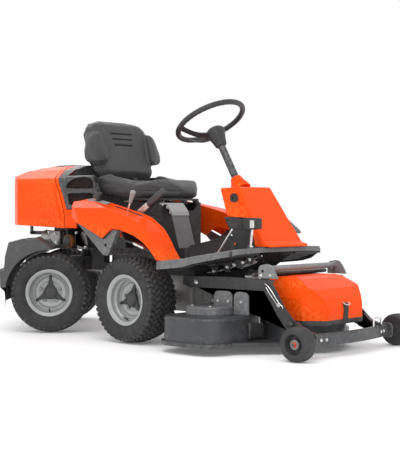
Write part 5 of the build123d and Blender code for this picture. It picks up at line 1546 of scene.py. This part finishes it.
# ---------------------------------------------------------------- hand levers
# Three hand controls stand at the operator's right. A flat bright steel arm with a ridged plastic grip lifts
# the deck, a thin rod with a grey knob sets the cutting height, and a short stalk with a faceted knob is the
# throttle.
grip_grey = finish("ridged_grip_plastic", (0.045, 0.046, 0.048), 0.5, patch=0.12,
                   worn=(0.13, 0.13, 0.13), grain=0.3)
dress(zinc, "lever_pivots")


def leaned(pivot, lean):
    """The matrix that stands an upright lever on its pivot, leaned towards the operator."""
    return Matrix.Translation(Vector(pivot) * MM) @ Matrix.Rotation(radians(lean), 4, "X")


lift_here = leaned((-280, 96, 576), 58)
flat_arm = rounded(prism([(-15, 14), (-15, 122), (15, 122), (15, 14)], "side", -4.5, 4.5), 1.6, 2)
eye_boss = turned([(-5, 10.1), (-5, 16), (-4, 17), (4, 17), (5, 16), (5, 10.1)], 40)
piece("lift_lever_arm", smoothed(moved(merged(flat_arm, eye_boss), lift_here), 30),
      "lift_lever_body", "bright_steel",
      zinc, "lift_lever")
grip_levels = []
for k in range(27):
    z = 120 + 125 * k / 26
    ridge = 1.3 if 4 <= k <= 22 and k % 2 else 0.0
    end = 3.5 if k in (0, 26) else 0.0
    swell = 1.5 * cos((k - 13) / 13 * 1.5)
    grip_levels.append((z, ridge + swell - end))
grip_form = bmesh.new()
grip_rings = []
for z, by in grip_levels:
    loop = []
    for k in range(32):
        a = tau * k / 32
        cx, sy = cos(a), sin(a)
        power = (abs(cx) ** 4 + abs(sy) ** 4) ** -0.25
        spot = Vector(((11.5 + by) * cx * power, (14.5 + by) * sy * power, z))
        loop.append(grip_form.verts.new(spot * MM))
    grip_rings.append(loop)
for here, there in zip(grip_rings, grip_rings[1:]):
    for k in range(32):
        j = (k + 1) % 32
        grip_form.faces.new((here[k], here[j], there[j], there[k]))
grip_form.faces.new(grip_rings[0][::-1])
grip_form.faces.new(grip_rings[-1])
grip_mesh = bpy.data.meshes.new("grip")
grip_form.to_mesh(grip_mesh)
grip_form.free()
piece("lift_lever_grip", smoothed(moved(rounded(grip_mesh, 2, 2, 60), lift_here), 45), "lift_lever_body",
      "black_plastic", grip_grey)

knob_grey = finish("light_grey_knob", (0.27, 0.27, 0.28), 0.42, patch=0.06, worn=(0.4, 0.4, 0.4))
height_here = leaned((-330, 106, 545), 22)
thin_rod = turned([(9, 0), (9, 4.5), (119, 4.5), (119, 0)], 24)
thin_rod = moved(thin_rod, Matrix.Rotation(-pi / 2, 4, "Y"))
ring_eye = turned([(-5, 10.1), (-5, 14), (-4, 15), (4, 15), (5, 14), (5, 10.1)], 36)
piece("height_lever_rod", smoothed(moved(merged(thin_rod, ring_eye), height_here), 30), "height_lever_body",
      "bright_steel", zinc, "height_lever")
knob_profile = [(112, 0), (112, 7), (116, 9), (140, 11), (158, 13.5), (166, 14), (171, 12),
                (174, 7), (174, 0)]
round_knob = moved(turned(knob_profile, 40), Matrix.Rotation(-pi / 2, 4, "Y"))
piece("height_lever_knob", smoothed(moved(round_knob, height_here), 40), "height_lever_body",
      "grey_plastic", knob_grey)

throttle_black = finish("throttle_knob_plastic", (0.022, 0.022, 0.022), 0.38, patch=0.12,
                        worn=(0.08, 0.08, 0.08))
throttle_way = Vector((0, -0.38, 0.925)).normalized()
side_way = Vector((1, 0, 0))
deep_way = throttle_way.cross(side_way)
throttle_here = to_place(-330, 285, 671) @ Matrix((
    (side_way.x, deep_way.x, throttle_way.x), (side_way.y, deep_way.y, throttle_way.y),
    (side_way.z, deep_way.z, throttle_way.z),
)).to_4x4()
stalk_disc = moved(turned([(-3, 0), (-3, 8), (3, 8), (3, 0)], 32), to_place(-330, 285, 671))
stalk = moved(rounded(prism([(-2.6, -5.6), (-2.6, 5.6), (2.6, 5.6), (2.6, -5.6)], "plan", 1, 16), 1.5, 2),
              throttle_here)
piece("throttle_stalk", smoothed(merged(stalk_disc, stalk)), "throttle_lever_body",
      "black_plastic", throttle_black,
      "throttle_lever")
knob_profile = [(-13, -7), (-13, 7), (-7, 14), (7, 14), (13, 7), (13, -7), (7, -14), (-7, -14)]
knob_block = rounded(prism(knob_profile, "plan", 11, 32), 3.5, 3, 15)
finger_dip = moved(turned([(-20, 0), (-20, 9), (20, 9), (20, 0)], 40), to_place(0, -21, 26))
knob_block = combined(knob_block, finger_dip, "DIFFERENCE")
piece("throttle_knob", smoothed(moved(knob_block, throttle_here), 30), "throttle_lever_body",
      "black_plastic",
      throttle_black)

# ---------------------------------------------------------------- pedals
# Three pedals swing on pins under the floor. A round rubber pad on a bent bright rod selects reverse, a
# black box pad drives forward, and a ribbed grey pad at the left works the brake.
pedal_grey = finish("ribbed_grey_pedal_rubber", (0.12, 0.12, 0.123), 0.55, patch=0.1,
                    worn=(0.2, 0.2, 0.2), grain=0.3)


def pivot_tube(x, y, z, half, outer, bore):
    """The cross tube a pedal turns on, bored for its pin."""
    tube = turned([(-half, bore), (-half, outer - 0.8), (1 - half, outer), (half - 1, outer),
                   (half, outer - 0.8),
                   (half, bore)], 40)
    return moved(tube, to_place(x, y, z))


reverse_at = Vector(joints["reverse_press"]["pos_m"]) / MM
drive_at = Vector(joints["drive_press"]["pos_m"]) / MM
brake_at = Vector(joints["brake_press"]["pos_m"]) / MM
stem = rod([reverse_at + Vector((0, -3, 5)), reverse_at + Vector((0, -26, 34)),
            reverse_at + Vector((0, -60, 78)),
            (reverse_at.x, -508, 528), (reverse_at.x, -515, 541)], 4.9)
disc = turned([(-2, 0), (-2, 22), (1, 24.5), (6, 26), (17, 26), (20, 24), (20.5, 20), (20.5, 0)], 64)
face_rings = [turned([(20, r), (21.6, r), (21.6, r + 2.2), (20, r + 2.2)], 48) for r in (6, 12, 18)]
pad_here = aimed((reverse_at.x, -514, 538), (0, -0.3, 0.954))
piece("reverse_pedal_stem", smoothed(merged(stem, pivot_tube(*reverse_at, 10, 6.5, 3.1))),
      "reverse_pedal_body",
      "bright_steel", zinc, "reverse_pedal")
piece("reverse_pedal_pad", smoothed(moved(merged(disc, *face_rings), pad_here)),
      "reverse_pedal_body", "tyre_rubber",
      rubber)

stem = rod([drive_at + Vector((0, 0, 4)), drive_at + Vector((0, -4, 40)), (drive_at.x, -575, 530)], 5.8)
box_side = [(-533, 524), (-533, 577), (-611, 579), (-611, 532)]
box = rounded(prism(box_side, "side", drive_at.x - 27, drive_at.x + 27), 6, 4)
ribs = [rounded(prism([(y, 576), (y, 580.5), (y - 5, 580.5), (y - 5, 576)], "side", drive_at.x - 21,
                      drive_at.x + 21), 1, 2)
        for y in (-546, -558, -570, -582, -594)]
piece("drive_pedal_pad", smoothed(merged(box, *ribs)), "drive_pedal_body", "tyre_rubber",
      rubber, "drive_pedal")
piece("drive_pedal_stem", smoothed(merged(stem, pivot_tube(*drive_at, 10, 6.5, 3.1))),
      "drive_pedal_body", "bright_steel",
      zinc)
end_plate = rounded(prism([(-608, 536), (-608, 570), (-584, 570), (-584, 536)], "side", drive_at.x - 28.5,
                          drive_at.x - 26.5),
                    1, 2)
piece("drive_pedal_end", smoothed(end_plate), "drive_pedal_body", "bright_steel", zinc)

stem = rod([brake_at + Vector((0, 0, 4)), brake_at + Vector((0, -8, 50)), (brake_at.x, -452, 510)], 5.8)
brake_side = [(-409, 508), (-415, 564), (-424, 565), (-497, 512), (-490, 504)]
brake_pad = rounded(prism(brake_side, "side", brake_at.x - 30, brake_at.x + 36), 4, 3)
piece("brake_pedal_pad", smoothed(brake_pad), "brake_pedal_body", "tyre_rubber", pedal_grey, "brake_pedal")
tread_bars = []
for k in range(5):
    y = -430 - 13 * k
    z = 562.5 - 9.5 * k
    tread_bars.append(rounded(prism([(y, z - 3), (y, z + 2.5), (y - 5, z - 1.2), (y - 5, z - 6)], "side",
                                    brake_at.x - 26,
                                    brake_at.x + 32), 1, 2))
piece("brake_pedal_ribs", smoothed(merged(*tread_bars)), "brake_pedal_body", "tyre_rubber", pedal_grey)
piece("brake_pedal_stem", smoothed(merged(stem, pivot_tube(*brake_at, 10, 6.5, 3.1))),
      "brake_pedal_body", "bright_steel",
      zinc)

pedal_lugs = []
for pin_at in (reverse_at, drive_at, brake_at):
    lug_line = [(pin_at.y + along, pin_at.z + up)
                for along, up in ((-7, -10), (-7, 4), (-3, 8), (3, 8), (7, 4), (7, -10))]
    for side in (-1, 1):
        lug = prism(lug_line, "side", *sorted((pin_at.x + side * 11, pin_at.x + side * 15)))
        pedal_lugs.append(rounded(lug, 0.8, 2, 40))
    pin = turned([(-15, 0), (-15, 2.9), (15, 2.9), (15, 0)], 20)
    pedal_lugs.append(moved(pin, to_place(*pin_at)))
piece("pedal_lugs", smoothed(merged(*pedal_lugs)), "chassis", "floor_grey", floor_plastic)

low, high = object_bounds()
